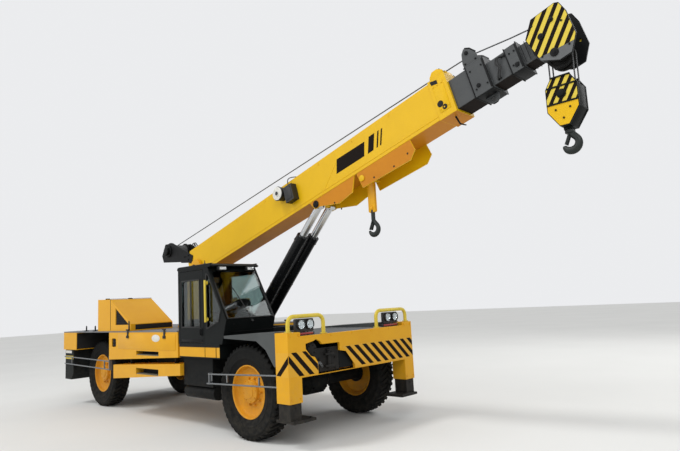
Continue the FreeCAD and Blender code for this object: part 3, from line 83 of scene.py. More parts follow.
def lay_pattern(material, kind, inputs, output="Fac", tones=None, relief=None, dulled=None, **settings):
    """A pattern on object coordinates gives a finish two tones, a relief of some strength and depth, or a
    roughness that goes from one value to another."""
    tree = material.node_tree
    shader = tree.nodes["Principled BSDF"]
    place = add_node(tree, "TexCoord").outputs["Object"]
    pattern = add_node(tree, kind, {"Vector": place, **inputs}, **settings).outputs[output]
    if tones:
        tint = add_node(tree, "MixRGB", {"Fac": pattern, "Color1": linear(tones[0]),
                                         "Color2": linear(tones[1])})
        tree.links.new(tint.outputs[0], shader.inputs["Base Color"])
    if relief:
        bump = add_node(tree, "Bump", {"Height": pattern, "Strength": relief[0], "Distance": relief[1]})
        tree.links.new(bump.outputs[0], shader.inputs["Normal"])
    if dulled:
        worn = add_node(tree, "MapRange", {"Value": pattern, "To Min": dulled[0], "To Max": dulled[1]})
        tree.links.new(worn.outputs[0], shader.inputs["Roughness"])
    return material


world = bpy.data.worlds.new("soft_sky")
bpy.context.scene.world = world
world.use_nodes = True
sky_tree = world.node_tree
seen_directly = add_node(sky_tree, "LightPath")
mirror_or_camera = add_node(sky_tree, "Math", {0: seen_directly.outputs["Is Camera Ray"],
                                              1: seen_directly.outputs["Is Transmission Ray"]},
                            operation="MAXIMUM")
seen_sky = add_node(sky_tree, "Math", {0: mirror_or_camera.outputs[0],
                                       1: seen_directly.outputs["Is Glossy Ray"]}, operation="MAXIMUM")
sky_strength = add_node(sky_tree, "MapRange", {"Value": seen_sky.outputs[0], "To Min": 0.56, "To Max": 0.93})
sky = sky_tree.nodes["Background"]
sky.inputs["Color"].default_value = linear("#F3F4F6")
sky_tree.links.new(sky_strength.outputs[0], sky.inputs["Strength"])

FLOOR_SIDE = 120.0
concrete = lay_pattern(new_finish("pale_concrete_slab", Roughness=0.85), "TexNoise",
                       {"Scale": 0.35, "Detail": 5}, tones=("#D9D9D6", "#E4E4E1"))
slab = bmesh.new()
bmesh.ops.create_grid(slab, x_segments=1, y_segments=1, size=FLOOR_SIDE / 2)
slab_mesh = bpy.data.meshes.new("yard_floor")
slab.to_mesh(slab_mesh)
floor = bpy.data.objects.new("yard_floor", slab_mesh)
bpy.context.collection.objects.link(floor)
slab_mesh.materials.append(concrete)

# Each row: lamp, where it stands, its side in metres, its power in watts.
for name, spot, side, power in (("front_panel", (11, -9, 11), 8, 780), ("side_panel", (-6, -14, 9), 9, 600),
                                ("far_panel", (4, 12, 10), 8, 470)):
    lamp_data = bpy.data.lights.new(name, "AREA")
    lamp_data.size = side
    lamp_data.energy = power
    lamp = bpy.data.objects.new(name, lamp_data)
    lamp.location = spot
    lamp.rotation_euler = (Vector((0, 0, 1.6)) - Vector(spot)).to_track_quat("-Z", "Y").to_euler()
    bpy.context.collection.objects.link(lamp)
sun_data = bpy.data.lights.new("hazy_sun", "SUN")
sun_data.energy = 1.0
sun_data.angle = math.radians(12)
sun = bpy.data.objects.new("hazy_sun", sun_data)
sun.rotation_euler = Vector((0.35, 0.55, -1.0)).to_track_quat("-Z", "Y").to_euler()
bpy.context.collection.objects.link(sun)

MIDDLE = 0.877131
camera_data = bpy.data.cameras.new("photo_camera")
camera_data.lens = 29.70
camera_data.sensor_width = 36
camera_data.clip_end = 500
camera = bpy.data.objects.new("photo_camera", camera_data)
yaw, pitch, roll = (math.radians(angle) for angle in (133.428, 7.833, -3.033))
ahead = Vector((math.cos(yaw) * math.cos(pitch), math.sin(yaw) * math.cos(pitch), math.sin(pitch)))
level = Vector((math.sin(yaw), -math.cos(yaw), 0))
upward = level.cross(ahead)
right = level * math.cos(roll) + upward * math.sin(roll)
above = upward * math.cos(roll) - level * math.sin(roll)
camera.matrix_world = Matrix.Translation((6.244 + MIDDLE, -5.805, 1.735)) @ Matrix(
    (right, above, -ahead)).transposed().to_4x4()
bpy.context.collection.objects.link(camera)
bpy.context.scene.camera = camera
bpy.context.scene.view_settings.view_transform = "Standard"


# Chassis frame and axles.
# Welded steel plate and castings under a coat of black chassis paint, dulled by road dust that lies
# thicker low down. The drive shaft runs below, and a ring of bolts holds each axle's cover.
AXLE_UP = 0.625
REAR_AXLE = -4.9
SHAFT_UP = 0.60
SHAFT_JOINTS = (-4.62, -2.5, -0.28)


def dress(finish, *names):
    """A CAD node's own mesh takes the finish."""
    for name in names:
        mesh = nodes[name].data
        mesh.materials.clear()
        mesh.materials.append(finish)


def soften(width, *names):
    """Plate edges of a CAD node are broken by a small rounded edge that catches the light."""
    for name in names:
        weld = nodes[name].modifiers.new("weld", "WELD")
        weld.merge_threshold = 0.00005
        edge = nodes[name].modifiers.new("edge", "BEVEL")
        edge.width = width
        edge.segments = 2
        edge.limit_method = "ANGLE"
        edge.angle_limit = math.radians(38)
        edge.harden_normals = False


def sprayed_paint(name, colour, faded, roughness, dust="#6E675A", dust_top=1.1, dust_share=0.2, coat=0.0,
                  plates=False, gloss=0.2):
    """Enamel sprayed on steel: faded patches about 400 mm across, orange peel of 4 mm, dust low down. The
    chequer plate underneath, where there is one, shows as lozenges 30 mm long."""
    finish = new_finish(name, Roughness=roughness, Coat_Weight=coat, Coat_Roughness=0.2,
                        Specular_IOR_Level=gloss)
    tree = finish.node_tree
    shader = tree.nodes["Principled BSDF"]
    place = add_node(tree, "TexCoord")
    patches = add_node(tree, "TexNoise", {"Vector": place.outputs["Object"], "Scale": 2.5, "Detail": 6,
                                          "Roughness": 0.6})
    patch_share = add_node(tree, "MapRange", {"Value": patches.outputs["Fac"], "From Min": 0.35,
                                              "From Max": 0.75})
    enamel = add_node(tree, "MixRGB", {"Fac": patch_share.outputs[0], "Color1": linear(colour),
                                       "Color2": linear(faded)})
    height = add_node(tree, "SeparateXYZ", {0: place.outputs["Object"]})
    low = add_node(tree, "MapRange", {"Value": height.outputs["Z"], "From Min": 0.2, "From Max": dust_top,
                                      "To Min": dust_share, "To Max": 0.0})
    speckle = add_node(tree, "TexNoise", {"Vector": place.outputs["Object"], "Scale": 14, "Detail": 8,
                                          "Roughness": 0.7})
    speckle_share = add_node(tree, "MapRange", {"Value": speckle.outputs["Fac"], "From Min": 0.4,
                                                "From Max": 0.68})
    dust_mask = add_node(tree, "Math", {0: low.outputs[0], 1: speckle_share.outputs[0]},
                         operation="MULTIPLY")
    coated = add_node(tree, "MixRGB", {"Fac": dust_mask.outputs[0], "Color1": enamel.outputs[0],
                                       "Color2": linear(dust)})
    tree.links.new(coated.outputs[0], shader.inputs["Base Color"])
    dull = add_node(tree, "MapRange", {"Value": dust_mask.outputs[0], "To Min": roughness, "To Max": 0.9})
    rub = add_node(tree, "MapRange", {"Value": speckle.outputs["Fac"], "To Min": -0.06, "To Max": 0.08})
    worn = add_node(tree, "Math", {0: dull.outputs[0], 1: rub.outputs[0]}, operation="ADD")
    tree.links.new(worn.outputs[0], shader.inputs["Roughness"])
    peel = add_node(tree, "TexNoise", {"Vector": place.outputs["Object"], "Scale": 250, "Detail": 2})
    bump = add_node(tree, "Bump", {"Height": peel.outputs["Fac"], "Strength": 0.08, "Distance": 0.001})
    if plates:
        rows = []
        for turn in (0.785, -0.785):
            turned_place = add_node(tree, "Mapping", {"Vector": place.outputs["Object"],
                                                      "Rotation": (0, 0, turn)})
            rows.append(add_node(tree, "TexBrick", {"Vector": turned_place.outputs[0], "Color1": (1, 1, 1, 1),
                                                    "Color2": (1, 1, 1, 1), "Mortar": (0, 0, 0, 1),
                                                    "Scale": 1.0, "Mortar Size": 0.006, "Brick Width": 0.036,
                                                    "Row Height": 0.018, "Mortar Smooth": 0.3}))
        cells = add_node(tree, "TexChecker", {"Vector": place.outputs["Object"], "Scale": 28})
        lozenges = add_node(tree, "MixRGB", {"Fac": cells.outputs["Fac"], "Color1": rows[0].outputs[0],
                                             "Color2": rows[1].outputs[0]})
        bump = add_node(tree, "Bump", {"Height": lozenges.outputs[0], "Strength": 0.5, "Distance": 0.002,
                                       "Normal": bump.outputs[0]})
    tree.links.new(bump.outputs[0], shader.inputs["Normal"])
    return finish


def take_in(shape, part, place=None):
    """A part's mesh joins a piece's shape."""
    if place is not None:
        part.transform(place)
    bmesh.ops.recalc_face_normals(part, faces=part.faces[:])
    mesh = bpy.data.meshes.new("part")
    part.to_mesh(mesh)
    part.free()
    shape.from_mesh(mesh)
    bpy.data.meshes.remove(mesh)


def aim(spot, way):
    """The move that carries the Z axis to a direction at a spot."""
    return Matrix.Translation(spot) @ Vector(way).to_track_quat("Z", "Y").to_matrix().to_4x4()


def add_rod(shape, start, end, radius, tip=None, sides=24, edge=0.0):
    """A round bar, or a cone where the tip differs, with its rims rounded."""
    way = Vector(end) - Vector(start)
    part = bmesh.new()
    bmesh.ops.create_cone(part, cap_ends=True, segments=sides, radius1=radius,
                          radius2=radius if tip is None else tip, depth=way.length)
    if edge:
        rims = [side for side in part.edges if abs(side.verts[0].co.z - side.verts[1].co.z) < 1e-6]
        bmesh.ops.bevel(part, geom=rims, offset=edge, affect="EDGES", segments=2, profile=0.5, material=-1)
    take_in(shape, part, aim((Vector(start) + Vector(end)) / 2, way))


def add_block(shape, middle, sides, edge=0.0, turn=(0, 0, 0)):
    """A block by its middle and sides, its edges rounded, tipped by degrees about X, Y and Z."""
    part = bmesh.new()
    bmesh.ops.create_cube(part, size=1.0, matrix=Matrix.Diagonal((*sides, 1)))
    if edge:
        bmesh.ops.bevel(part, geom=part.edges[:], offset=edge, affect="EDGES", segments=2, profile=0.5,
                        material=-1)
    tip = Matrix.Rotation(math.radians(turn[2]), 4, "Z") @ Matrix.Rotation(
        math.radians(turn[1]), 4, "Y") @ Matrix.Rotation(math.radians(turn[0]), 4, "X")
    take_in(shape, part, Matrix.Translation(middle) @ tip)


def piece(name, shape, finish, body, place=None, sharp=32):
    """A finished shape becomes an object that rides on a body, smooth but for its sharp edges."""
    if place is not None:
        shape.transform(place)
    for face in shape.faces:
        face.smooth = True
    for edge in shape.edges:
        if len(edge.link_faces) == 2:
            edge.smooth = edge.calc_face_angle(0) < math.radians(sharp)
    mesh = bpy.data.meshes.new(name)
    shape.to_mesh(mesh)
    shape.free()
    mesh.materials.append(finish)
    made = bpy.data.objects.new(name, mesh)
    bpy.context.collection.objects.link(made)
    if body:
        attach(made, body)
    return made


def at(x, y, z):
    """A spot counted from the middle of the front axle."""
    return Vector((x + MIDDLE, y, z))


def around(middle, reach, count, first=0, plane="xz"):
    """Spots evenly round a circle in a plane, the first one turned by some degrees."""
    for step in range(count):
        angle = math.radians(first + 360 / count * step)
        spot = Vector(middle)
        spot["xyz".index(plane[0])] += reach * math.cos(angle)
        spot["xyz".index(plane[1])] += reach * math.sin(angle)
        yield spot


def add_nut(shape, spot, rise, radius):
    """A hexagon nut or bolt head that rises from a face."""
    add_rod(shape, spot, Vector(spot) + Vector(rise), radius, sides=6)


chassis_paint = sprayed_paint("black_chassis_paint", "#101213", "#161819", 0.55, dust_share=0.14, gloss=0.08)
dress(chassis_paint, "main_frame", "front_axle", "rear_axle", "knuckle_left", "knuckle_right",
      "under_cab_boxes")
soften(0.006, "main_frame", "under_cab_boxes")
rod_steel = lay_pattern(new_finish("hard_chrome_rod", "#C4C6C8", Metallic=1.0, Roughness=0.16), "TexNoise",
                        {"Scale": 40, "Detail": 6}, dulled=(0.1, 0.3))
dress(rod_steel, "steering_rod", "lift_rods")
shaft = bmesh.new()
add_rod(shaft, at(SHAFT_JOINTS[0], 0, SHAFT_UP), at(SHAFT_JOINTS[-1], 0, SHAFT_UP), 0.038, sides=20)
for x in SHAFT_JOINTS:
    for across, tall in ((0.11, 0.05), (0.05, 0.11)):
        add_block(shaft, at(x, 0, SHAFT_UP), (0.075, across, tall), 0.008)
piece("drive_shaft", shaft, chassis_paint, "chassis")
cover_bolts = bmesh.new()
for x in (0.0, REAR_AXLE):
    for spot in around(at(x + 0.13, 0, AXLE_UP), 0.15, 10, plane="yz"):
        add_nut(cover_bolts, spot, (0.07, 0, 0), 0.011)
piece("axle_cover_bolts", cover_bolts, chassis_paint, "chassis")

# Tyres.
# Four wide rubber tyres, moulded with slanted shoulder lugs on both sides of a shallow middle groove and
# two raised rings on each sidewall.
TYRE_STEPS = 88
SIDEWALL = [(0.349, 0.098), (0.352, 0.118), (0.372, 0.128), (0.400, 0.138), (0.436, 0.149),
            (0.440, 0.1535), (0.450, 0.1545), (0.455, 0.1515), (0.500, 0.1560), (0.540, 0.1545),
            (0.545, 0.1570), (0.553, 0.1565), (0.557, 0.1525), (0.582, 0.1450), (0.598, 0.1280),
            (0.602, 0.0700), (0.602, 0.0080)]
FRONT_TRACK, REAR_TRACK = 1.03, 0.84
WHEELS = (("front", "right", 0.0, -FRONT_TRACK), ("front", "left", 0.0, FRONT_TRACK),
          ("rear", "right", REAR_AXLE, -REAR_TRACK), ("rear", "left", REAR_AXLE, REAR_TRACK))


def turned(profile, steps, closed=True):
    """A profile of (radius, along) points spun once round the Z axis."""
    part = bmesh.new()
    spots = [part.verts.new((radius, 0, along)) for radius, along in profile]
    edges = [part.edges.new(pair) for pair in zip(spots, spots[1:])]
    if closed:
        edges.append(part.edges.new((spots[-1], spots[0])))
    bmesh.ops.spin(part, geom=spots + edges, cent=(0, 0, 0), axis=(0, 0, 1), dvec=(0, 0, 0),
                   angle=2 * math.pi, steps=steps, use_merge=True)
    bmesh.ops.remove_doubles(part, verts=part.verts[:], dist=0.00005)
    bmesh.ops.recalc_face_normals(part, faces=part.faces[:])
    return part


tyre_rubber = sprayed_paint("tyre_rubber", "#141515", "#1B1B1B", 0.8, dust_share=0.15, dust_top=1.3,
                            gloss=0.1)
for end_name, side_name, x, y in WHEELS:
    tyre = turned(SIDEWALL + [(radius, -along) for radius, along in reversed(SIDEWALL)], TYRE_STEPS)
    lugs = []
    for face in tyre.faces:
        middle = face.calc_center_median()
        step = int(math.atan2(middle.y, middle.x) % (2 * math.pi) / (2 * math.pi) * TYRE_STEPS)
        if middle.xy.length > 0.586 and abs(middle.z) > 0.012 and (step + (middle.z > 0)) % 2:
            lugs.append(face)
    rims = {edge for face in lugs for edge in face.edges}
    for item in bmesh.ops.extrude_face_region(tyre, geom=lugs + list(rims))["geom"]:
        if isinstance(item, bmesh.types.BMVert):
            reach = 0.023 if abs(item.co.z) < 0.1 else 0.020 if abs(item.co.z) < 0.135 else 0.009
            item.co.xy *= 1 + reach / item.co.xy.length
    for spot in tyre.verts:
        if spot.co.xy.length > 0.575:
            spot.co = Matrix.Rotation(0.9 * abs(spot.co.z), 3, "Z") @ spot.co
    shape = bmesh.new()
    take_in(shape, tyre, aim(at(x, y, AXLE_UP), (0, 1, 0)))
    made = piece(f"treaded_tyre_{end_name}_{side_name}", shape, tyre_rubber, f"{end_name}_wheel_{side_name}")
    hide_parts(f"tyre_{end_name}_{side_name}")

# Wheels.
# Pressed steel rims with a deep dished disc under amber enamel, ten studs and nuts, and a broad hub drum
# with a bolted cover. The paint is dulled by dust.
RIM = [(0.352, 0.100), (0.354, 0.116), (0.351, 0.123), (0.342, 0.125), (0.333, 0.121), (0.329, 0.110),
       (0.326, 0.085), (0.318, 0.064), (0.309, 0.052), (0.292, 0.046), (0.240, 0.041), (0.200, 0.041),
       (0.168, 0.046), (0.152, 0.052), (0.150, 0.090), (0.146, 0.096), (0.120, 0.098), (0.085, 0.104),
       (0.080, 0.112), (0.045, 0.114), (0.0, 0.114), (0.0, -0.02), (0.28, -0.02), (0.300, -0.03),
       (0.306, -0.060), (0.318, -0.100), (0.342, -0.125), (0.351, -0.123), (0.354, -0.116),
       (0.352, -0.100), (0.340, -0.095), (0.336, 0.0), (0.340, 0.095)]
wheel_paint = sprayed_paint("amber_wheel_enamel", "#D8961E", "#C8871B", 0.42, dust_share=0.25, dust_top=1.3)
for end_name, side_name, x, y in WHEELS:
    shape = bmesh.new()
    place = aim(at(x, y, AXLE_UP), (0, math.copysign(1, y), 0))
    take_in(shape, turned(RIM, 72))
    for spot in around((0, 0, 0), 0.182, 10, plane="xy"):
        for low, high, radius, sides in ((0.040, 0.048, 0.021, 16), (0.047, 0.068, 0.015, 6),
                                         (0.067, 0.076, 0.008, 10)):
            add_rod(shape, spot + Vector((0, 0, low)), spot + Vector((0, 0, high)), radius, sides=sides)
    for spot in around((0, 0, 0.094), 0.128, 8, 10, "xy"):
        add_nut(shape, spot, (0, 0, 0.012), 0.009)
    made = piece(f"nutted_rim_{end_name}_{side_name}", shape, wheel_paint, f"{end_name}_wheel_{side_name}",
                 place)
    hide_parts(f"rim_{end_name}_{side_name}")

# Decks and ballast.
# Grey chequer plate welded over the frame, an amber box across the tail, and a slab of cast iron ballast
# hung below it with reflective tape. Lifting rings and tail lamps are bolted on.
body_paint = sprayed_paint("amber_body_enamel", "#DDA31C", "#D69A1A", 0.38, dust="#8E8474")
dress(body_paint, "rear_cross_block", "engine_hood", "oil_tank", "boom_mast", "front_bumper", "cab_floor")
soften(0.004, "rear_cross_block", "engine_hood", "oil_tank", "boom_mast", "front_bumper", "cab_floor")
deck_paint = sprayed_paint("grey_deck_paint", "#6E7073", "#797B7E", 0.6, plates=True)
dress(deck_paint, "rear_deck")
fender_paint = sprayed_paint("slate_fender_paint", "#484B4B", "#525555", 0.6)
dress(fender_paint, "front_deck")
soften(0.003, "rear_deck", "front_deck")
weight_paint = sprayed_paint("slate_ballast_paint", "#171A1B", "#1E2122", 0.6, gloss=0.1)
dress(weight_paint, "counterweight")
soften(0.01, "counterweight")
casting = sprayed_paint("dark_casting", "#161514", "#211F1C", 0.6)
black_steel = sprayed_paint("black_enamelled_steel", "#0E0F10", "#151617", 0.45, dust_share=0.12, gloss=0.12)


def add_ring(shape, middle, way, radius, thick, steps=32):
    """A round bar bent and welded into a ring."""
    loop = [spot.xz for spot in around((radius, 0, 0), thick, 12)]
    take_in(shape, turned(loop, steps), aim(middle, way))


rings = bmesh.new()
for x, y in ((-5.27, -1.13), (-4.86, -1.13), (-5.27, 1.13), (-4.86, 1.13)):
    add_ring(rings, at(x, y, 1.492), (0.35, 1, 0), 0.042, 0.011)
    add_block(rings, at(x, y, 1.446), (0.07, 0.07, 0.014), 0.003)
    add_block(rings, at(x, y, 1.456), (0.03, 0.02, 0.03), 0.004)
piece("lifting_rings", rings, black_steel, "chassis")

plate_white = lay_pattern(new_finish("blank_white_enamel_plate", "#DEDDD6", Roughness=0.4), "TexNoise",
                          {"Scale": 25, "Detail": 6}, tones=("#E2E1DA", "#C9C7BE"))


def tape(name, colour, roughness=0.4, gloss=0.2):
    """Retro-reflective film: a gloss face over cells about 3 mm across, drawn at 6 mm so that they show."""
    finish = new_finish(name, Roughness=roughness, Specular_IOR_Level=gloss)
    tree = finish.node_tree
    place = add_node(tree, "TexCoord")
    cells = add_node(tree, "TexVoronoi", {"Vector": place.outputs["Object"], "Scale": 160})
    shade = add_node(tree, "MapRange", {"Value": cells.outputs["Distance"], "To Min": 1.04, "To Max": 0.90})
    tone = add_node(tree, "MixRGB", {"Fac": 1.0, "Color1": linear(colour), "Color2": shade.outputs[0]},
                    blend_type="MULTIPLY")
    tree.links.new(tone.outputs[0], tree.nodes["Principled BSDF"].inputs["Base Color"])
    return finish


pale_tape = tape("lemon_reflective_tape", "#D6BE46")
black_tape = tape("black_film", "#1B1512", 0.6, 0.05)
amber_tape = tape("amber_reflective_tape", "#DCA530")
bands = bmesh.new()
for side in (-1, 1):
    add_block(bands, at(-5.87, side * 1.2249, 0.925), (0.40, 0.003, 0.065))
add_block(bands, at(-6.0815, 0, 0.925), (0.003, 2.36, 0.065))
piece("ballast_tape", bands, pale_tape, "chassis")
blank = bmesh.new()
add_block(blank, at(-5.90, -1.2245, 1.035), (0.30, 0.004, 0.055), 0.001)
piece("ballast_blank_plate", blank, plate_white, "chassis")

red_lens = lay_pattern(new_finish("red_moulded_lens", "#9E1512", Roughness=0.12, Coat_Weight=0.6), "TexWave",
                       {"Scale": 30}, relief=(0.4, 0.002), bands_direction="Y")
lenses, holders = bmesh.new(), bmesh.new()
for side in (-1, 1):
    add_block(holders, at(-6.118, side * 1.02, 1.27), (0.026, 0.34, 0.12), 0.008)
    add_block(holders, at(-6.118, side * 1.02, 1.12), (0.016, 0.10, 0.05), 0.004)
    for across in (-0.10, 0.0, 0.10):
        add_rod(lenses, at(-6.128, side * 1.02 + across, 1.27), at(-6.140, side * 1.02 + across, 1.27), 0.043,
                tip=0.038, sides=28, edge=0.003)
    add_block(lenses, at(-6.126, side * 1.02, 1.12), (0.008, 0.085, 0.036), 0.002)
piece("tail_lamp_holders", holders, black_steel, "chassis")
piece("tail_lamp_lenses", lenses, red_lens, "chassis")

# Side boxes and step boxes.
# Folded steel chests in amber enamel that hang below the deck on each side, a dark gap between them. A
# foot slot with a tread bar is pressed into each, and a vent with slats into the upper one.
HALF_WIDTH = 1.25


def prism(corners, depth, edge=0.0):
    """A plate or chest: a flat outline drawn out to a depth, its edges rounded."""
    part = bmesh.new()
    face = part.faces.new([part.verts.new(corner) for corner in corners])
    moved = [item for item in bmesh.ops.extrude_face_region(part, geom=[face])["geom"]
             if isinstance(item, bmesh.types.BMVert)]
    bmesh.ops.translate(part, vec=depth, verts=moved)
    bottom = [face for face in part.faces if all(vert not in moved for vert in face.verts)]
    if not bottom:
        part.faces.new([vert for vert in part.verts if vert not in moved])
    bmesh.ops.recalc_face_normals(part, faces=part.faces[:])
    if edge:
        bmesh.ops.bevel(part, geom=part.edges[:], offset=edge, affect="EDGES", segments=2, profile=0.5,
                        material=-1)
    return part


def add_plate(shape, corners, depth, edge=0.0):
    """A flat plate joins a piece's shape."""
    take_in(shape, prism(corners, depth, edge))


def press_in(part, low, high, depth, round_by=0.0):
    """The share of an outer face between two corners is pressed inwards, its own corners rounded."""
    way = Vector(depth).normalized()
    part.normal_update()
    for spot, sign in ((low, -1), (high, 1)):
        for axis in range(3):
            if abs(way[axis]) > 0.5:
                continue
            flat = [face for face in part.faces if face.normal.dot(way) < -0.999]
            flat_edges = {edge for face in flat for edge in face.edges}
            flat_verts = {vert for face in flat for vert in face.verts}
            normal = Vector((0, 0, 0))
            normal[axis] = sign
            bmesh.ops.bisect_plane(part, geom=flat + list(flat_edges) + list(flat_verts), plane_co=spot,
                                   plane_no=normal)
            part.normal_update()
    chosen = []
    for face in part.faces:
        middle = face.calc_center_median()
        if face.normal.dot(way) < -0.999 and all(
                abs(way[axis]) > 0.5 or low[axis] - 1e-4 <= middle[axis] <= high[axis] + 1e-4
                for axis in range(3)):
            chosen.append(face)
    rim = {edge for face in chosen for edge in face.edges}
    moved = [item for item in bmesh.ops.extrude_face_region(part, geom=chosen + list(rim))["geom"]
             if isinstance(item, bmesh.types.BMVert)]
    bmesh.ops.translate(part, vec=depth, verts=moved)
    part.normal_update()
    if round_by:
        corners = [edge for edge in part.edges if len(edge.link_faces) == 2
                   and (edge.verts[0] in moved) != (edge.verts[1] in moved)]
        bmesh.ops.bevel(part, geom=corners, offset=round_by, affect="EDGES", segments=4, profile=0.5,
                        material=-1)


# A flat, mottled near-black that stands for painted shade inside slots, vents, holes and openings.
void_black = lay_pattern(new_finish("unlit_black_lining", "#0B0B0C", Roughness=0.9), "TexNoise",
                         {"Scale": 60, "Detail": 3}, tones=("#090909", "#151413"))
# Painted shade: flat black blocks at the back and roof of each foot slot, behind the vent's slats and in the
# gap between the boxes.
shade_linings, treads = bmesh.new(), bmesh.new()
for side_name, side in (("right", -1), ("left", 1)):
    wall = side * HALF_WIDTH
    chest = prism([at(-3.98, wall, 0.94), at(-1.60, wall, 1.04), at(-1.60, wall, 1.42),
                   at(-3.98, wall, 1.42)], (0, -side * 0.92, 0))
    press_in(chest, at(-2.94, -2, 1.045), at(-2.19, 2, 1.115), (0, -side * 0.12, 0))
    press_in(chest, at(-3.87, -2, 1.165), at(-3.70, 2, 1.315), (0, -side * 0.03, 0), 0.03)
    shape = bmesh.new()
    take_in(shape, chest)
    add_plate(shape, [at(-3.62, wall, 1.14), at(-1.66, wall, 1.14), at(-1.66, wall, 1.395),
                      at(-3.62, wall, 1.395)], (0, side * 0.005, 0), 0.002)
    made = piece("side_box_" + side_name, shape, body_paint, "chassis")
    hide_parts("side_boxes")
    lower = prism([at(-3.80, wall, 0.62), at(-1.54, wall, 0.775), at(-1.54, wall, 0.945),
                   at(-3.80, wall, 0.855)], (0, -side * 0.30, 0))
    press_in(lower, at(-2.95, -2, 0.735), at(-2.20, 2, 0.835), (0, -side * 0.14, 0))
    shape = bmesh.new()
    take_in(shape, lower)
    made = piece("step_box_" + side_name, shape, body_paint, "chassis")
    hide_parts("step_boxes")
    for x in (-3.42, -1.92):
        add_block(shade_linings, at(x, side * 1.08, 0.94), (0.05, 0.06, 0.16), 0.004)
    for rear, front, low, high, deep in ((-2.94, -2.19, 1.045, 1.115, 0.118),
                                         (-2.95, -2.20, 0.735, 0.835, 0.138)):
        middle, halfway, long = (rear + front) / 2, side * (HALF_WIDTH - deep / 2), front - rear
        add_block(shade_linings, at(middle, side * (HALF_WIDTH - deep), (low + high) / 2),
                  (long - 0.004, 0.003, high - low - 0.004))
        add_block(shade_linings, at(middle, halfway, high - 0.002), (long - 0.004, deep, 0.003))
        add_block(treads, at(middle, halfway, low + 0.006), (long - 0.02, deep - 0.012, 0.010), 0.002)
        for step in range(24):
            add_block(treads, at(rear + 0.025 + 0.0305 * step, halfway, low + 0.013),
                      (0.009, deep - 0.03, 0.008), 0.002)
    add_block(shade_linings, at(-3.785, side * 1.2235, 1.24), (0.155, 0.003, 0.135))
    for step in range(5):
        add_block(shade_linings, at(-3.785, side * 1.235, 1.188 + 0.026 * step), (0.150, 0.022, 0.004), 0.001,
                  (side * -35, 0, 0))
tread_steel = sprayed_paint("worn_step_tread_steel", "#6C6759", "#8A8473", 0.55, dust_share=0.6)
piece("painted_shade_linings", shade_linings, void_black, "chassis")
piece("step_treads", treads, tread_steel, "chassis")

# Straps and blank plate on the side boxes.
# Moulded rubber straps hold the lids down by catches of the same rubber, and an oval enamelled plate on the
# right box is left blank.
STRAP_TOP = 1.475
rubber = lay_pattern(new_finish("moulded_black_rubber", "#141414", Roughness=0.7), "TexNoise",
                     {"Scale": 180, "Detail": 3}, relief=(0.15, 0.001))
straps = bmesh.new()
for side in (-1, 1):
    for x in (-3.235, -1.99):
        add_block(straps, at(x, side * 1.258, (STRAP_TOP + 1.34) / 2), (0.05, 0.012, STRAP_TOP - 1.34), 0.004)
        add_block(straps, at(x, side * 1.262, 1.345), (0.075, 0.022, 0.045), 0.006)
        add_rod(straps, at(x - 0.045, side * 1.262, STRAP_TOP - 0.012),
                at(x + 0.045, side * 1.262, STRAP_TOP - 0.012), 0.011, sides=12, edge=0.003)
add_block(straps, at(-3.252, -1.226, 1.53), (0.035, 0.010, 0.165), 0.003)
piece("hold_down_straps", straps, rubber, "chassis")
badge = bmesh.new()
oval = [at(-2.267 + 0.128 * math.cos(math.radians(10 * step)), -1.2545, 1.325 + 0.058 * math.sin(
    math.radians(10 * step))) for step in range(36)]
add_plate(badge, oval, (0, -0.004, 0), 0.001)
piece("blank_oval_plate", badge, plate_white, "chassis")

# Engine hood fittings.
# Black screens and slats sit behind the cover's side opening and low front slot; a rubber seal marks the
# split between its rear part and the ramp. Hinges, latches, a vent and the exhaust stack are bolted on.
EXHAUST = (-4.40, -0.30)
screens = bmesh.new()
add_plate(screens, [at(-3.80, -1.199, 1.54), at(-3.25, -1.199, 1.54), at(-3.80, -1.199, 1.86)], (0, 0.004, 0))
add_block(screens, at(-3.225, -0.835, 1.50), (0.004, 0.60, 0.07))
add_block(screens, at(-3.1985, -0.785, 1.505), (0.003, 0.70, 0.086), 0.001)
for side in (-1, 1):
    add_block(screens, at(-5.4585, side * 0.79, 1.25), (0.003, 0.90, 0.31), 0.001)
for step in range(9):
    z = 1.562 + 0.03 * step
    reach = 0.52 * (1.85 - z) / 0.30
    if reach > 0.03:
        add_block(screens, at(-3.788 + reach / 2, -1.206, z), (reach - 0.012, 0.014, 0.005), 0.001,
                  (35, 0, 0))
piece("hood_screens", screens, void_black, "chassis")
seal = bmesh.new()
add_block(seal, at(-3.99, -1.2205, 1.735), (0.010, 0.006, 0.56), 0.001)
add_block(seal, at(-3.99, -0.82, 2.0235), (0.010, 0.80, 0.006), 0.001)
add_block(seal, at(-3.99, -0.4195, 1.735), (0.010, 0.006, 0.56), 0.001)
piece("hood_split_seal", seal, rubber, "chassis")
hood_gear = bmesh.new()
for y in (-1.05, -0.60):
    add_rod(hood_gear, at(-4.49, y - 0.04, 2.036), at(-4.49, y + 0.04, 2.036), 0.012, sides=14, edge=0.003)
    add_block(hood_gear, at(-4.46, y, 2.034), (0.05, 0.06, 0.006), 0.002)
for y in (-1.10, -0.55):
    add_rod(hood_gear, at(-4.537, y, 1.62), at(-4.555, y, 1.62), 0.018, sides=18, edge=0.003)
for step in range(7):
    add_block(hood_gear, at(-4.536, -0.82, 1.72 + 0.035 * step), (0.010, 0.44, 0.006), 0.001, (0, -30, 0))
piece("hood_fittings", hood_gear, black_steel, "chassis")
exhaust = bmesh.new()
add_rod(exhaust, at(*EXHAUST, 1.44), at(*EXHAUST, 2.02), 0.036, sides=24, edge=0.004)
add_rod(exhaust, at(*EXHAUST, 1.62), at(*EXHAUST, 1.92), 0.052, sides=24, edge=0.008)
add_block(exhaust, at(-4.40, -0.355, 1.66), (0.03, 0.12, 0.02), 0.003)
piece("exhaust_stack", exhaust, black_steel, "chassis")

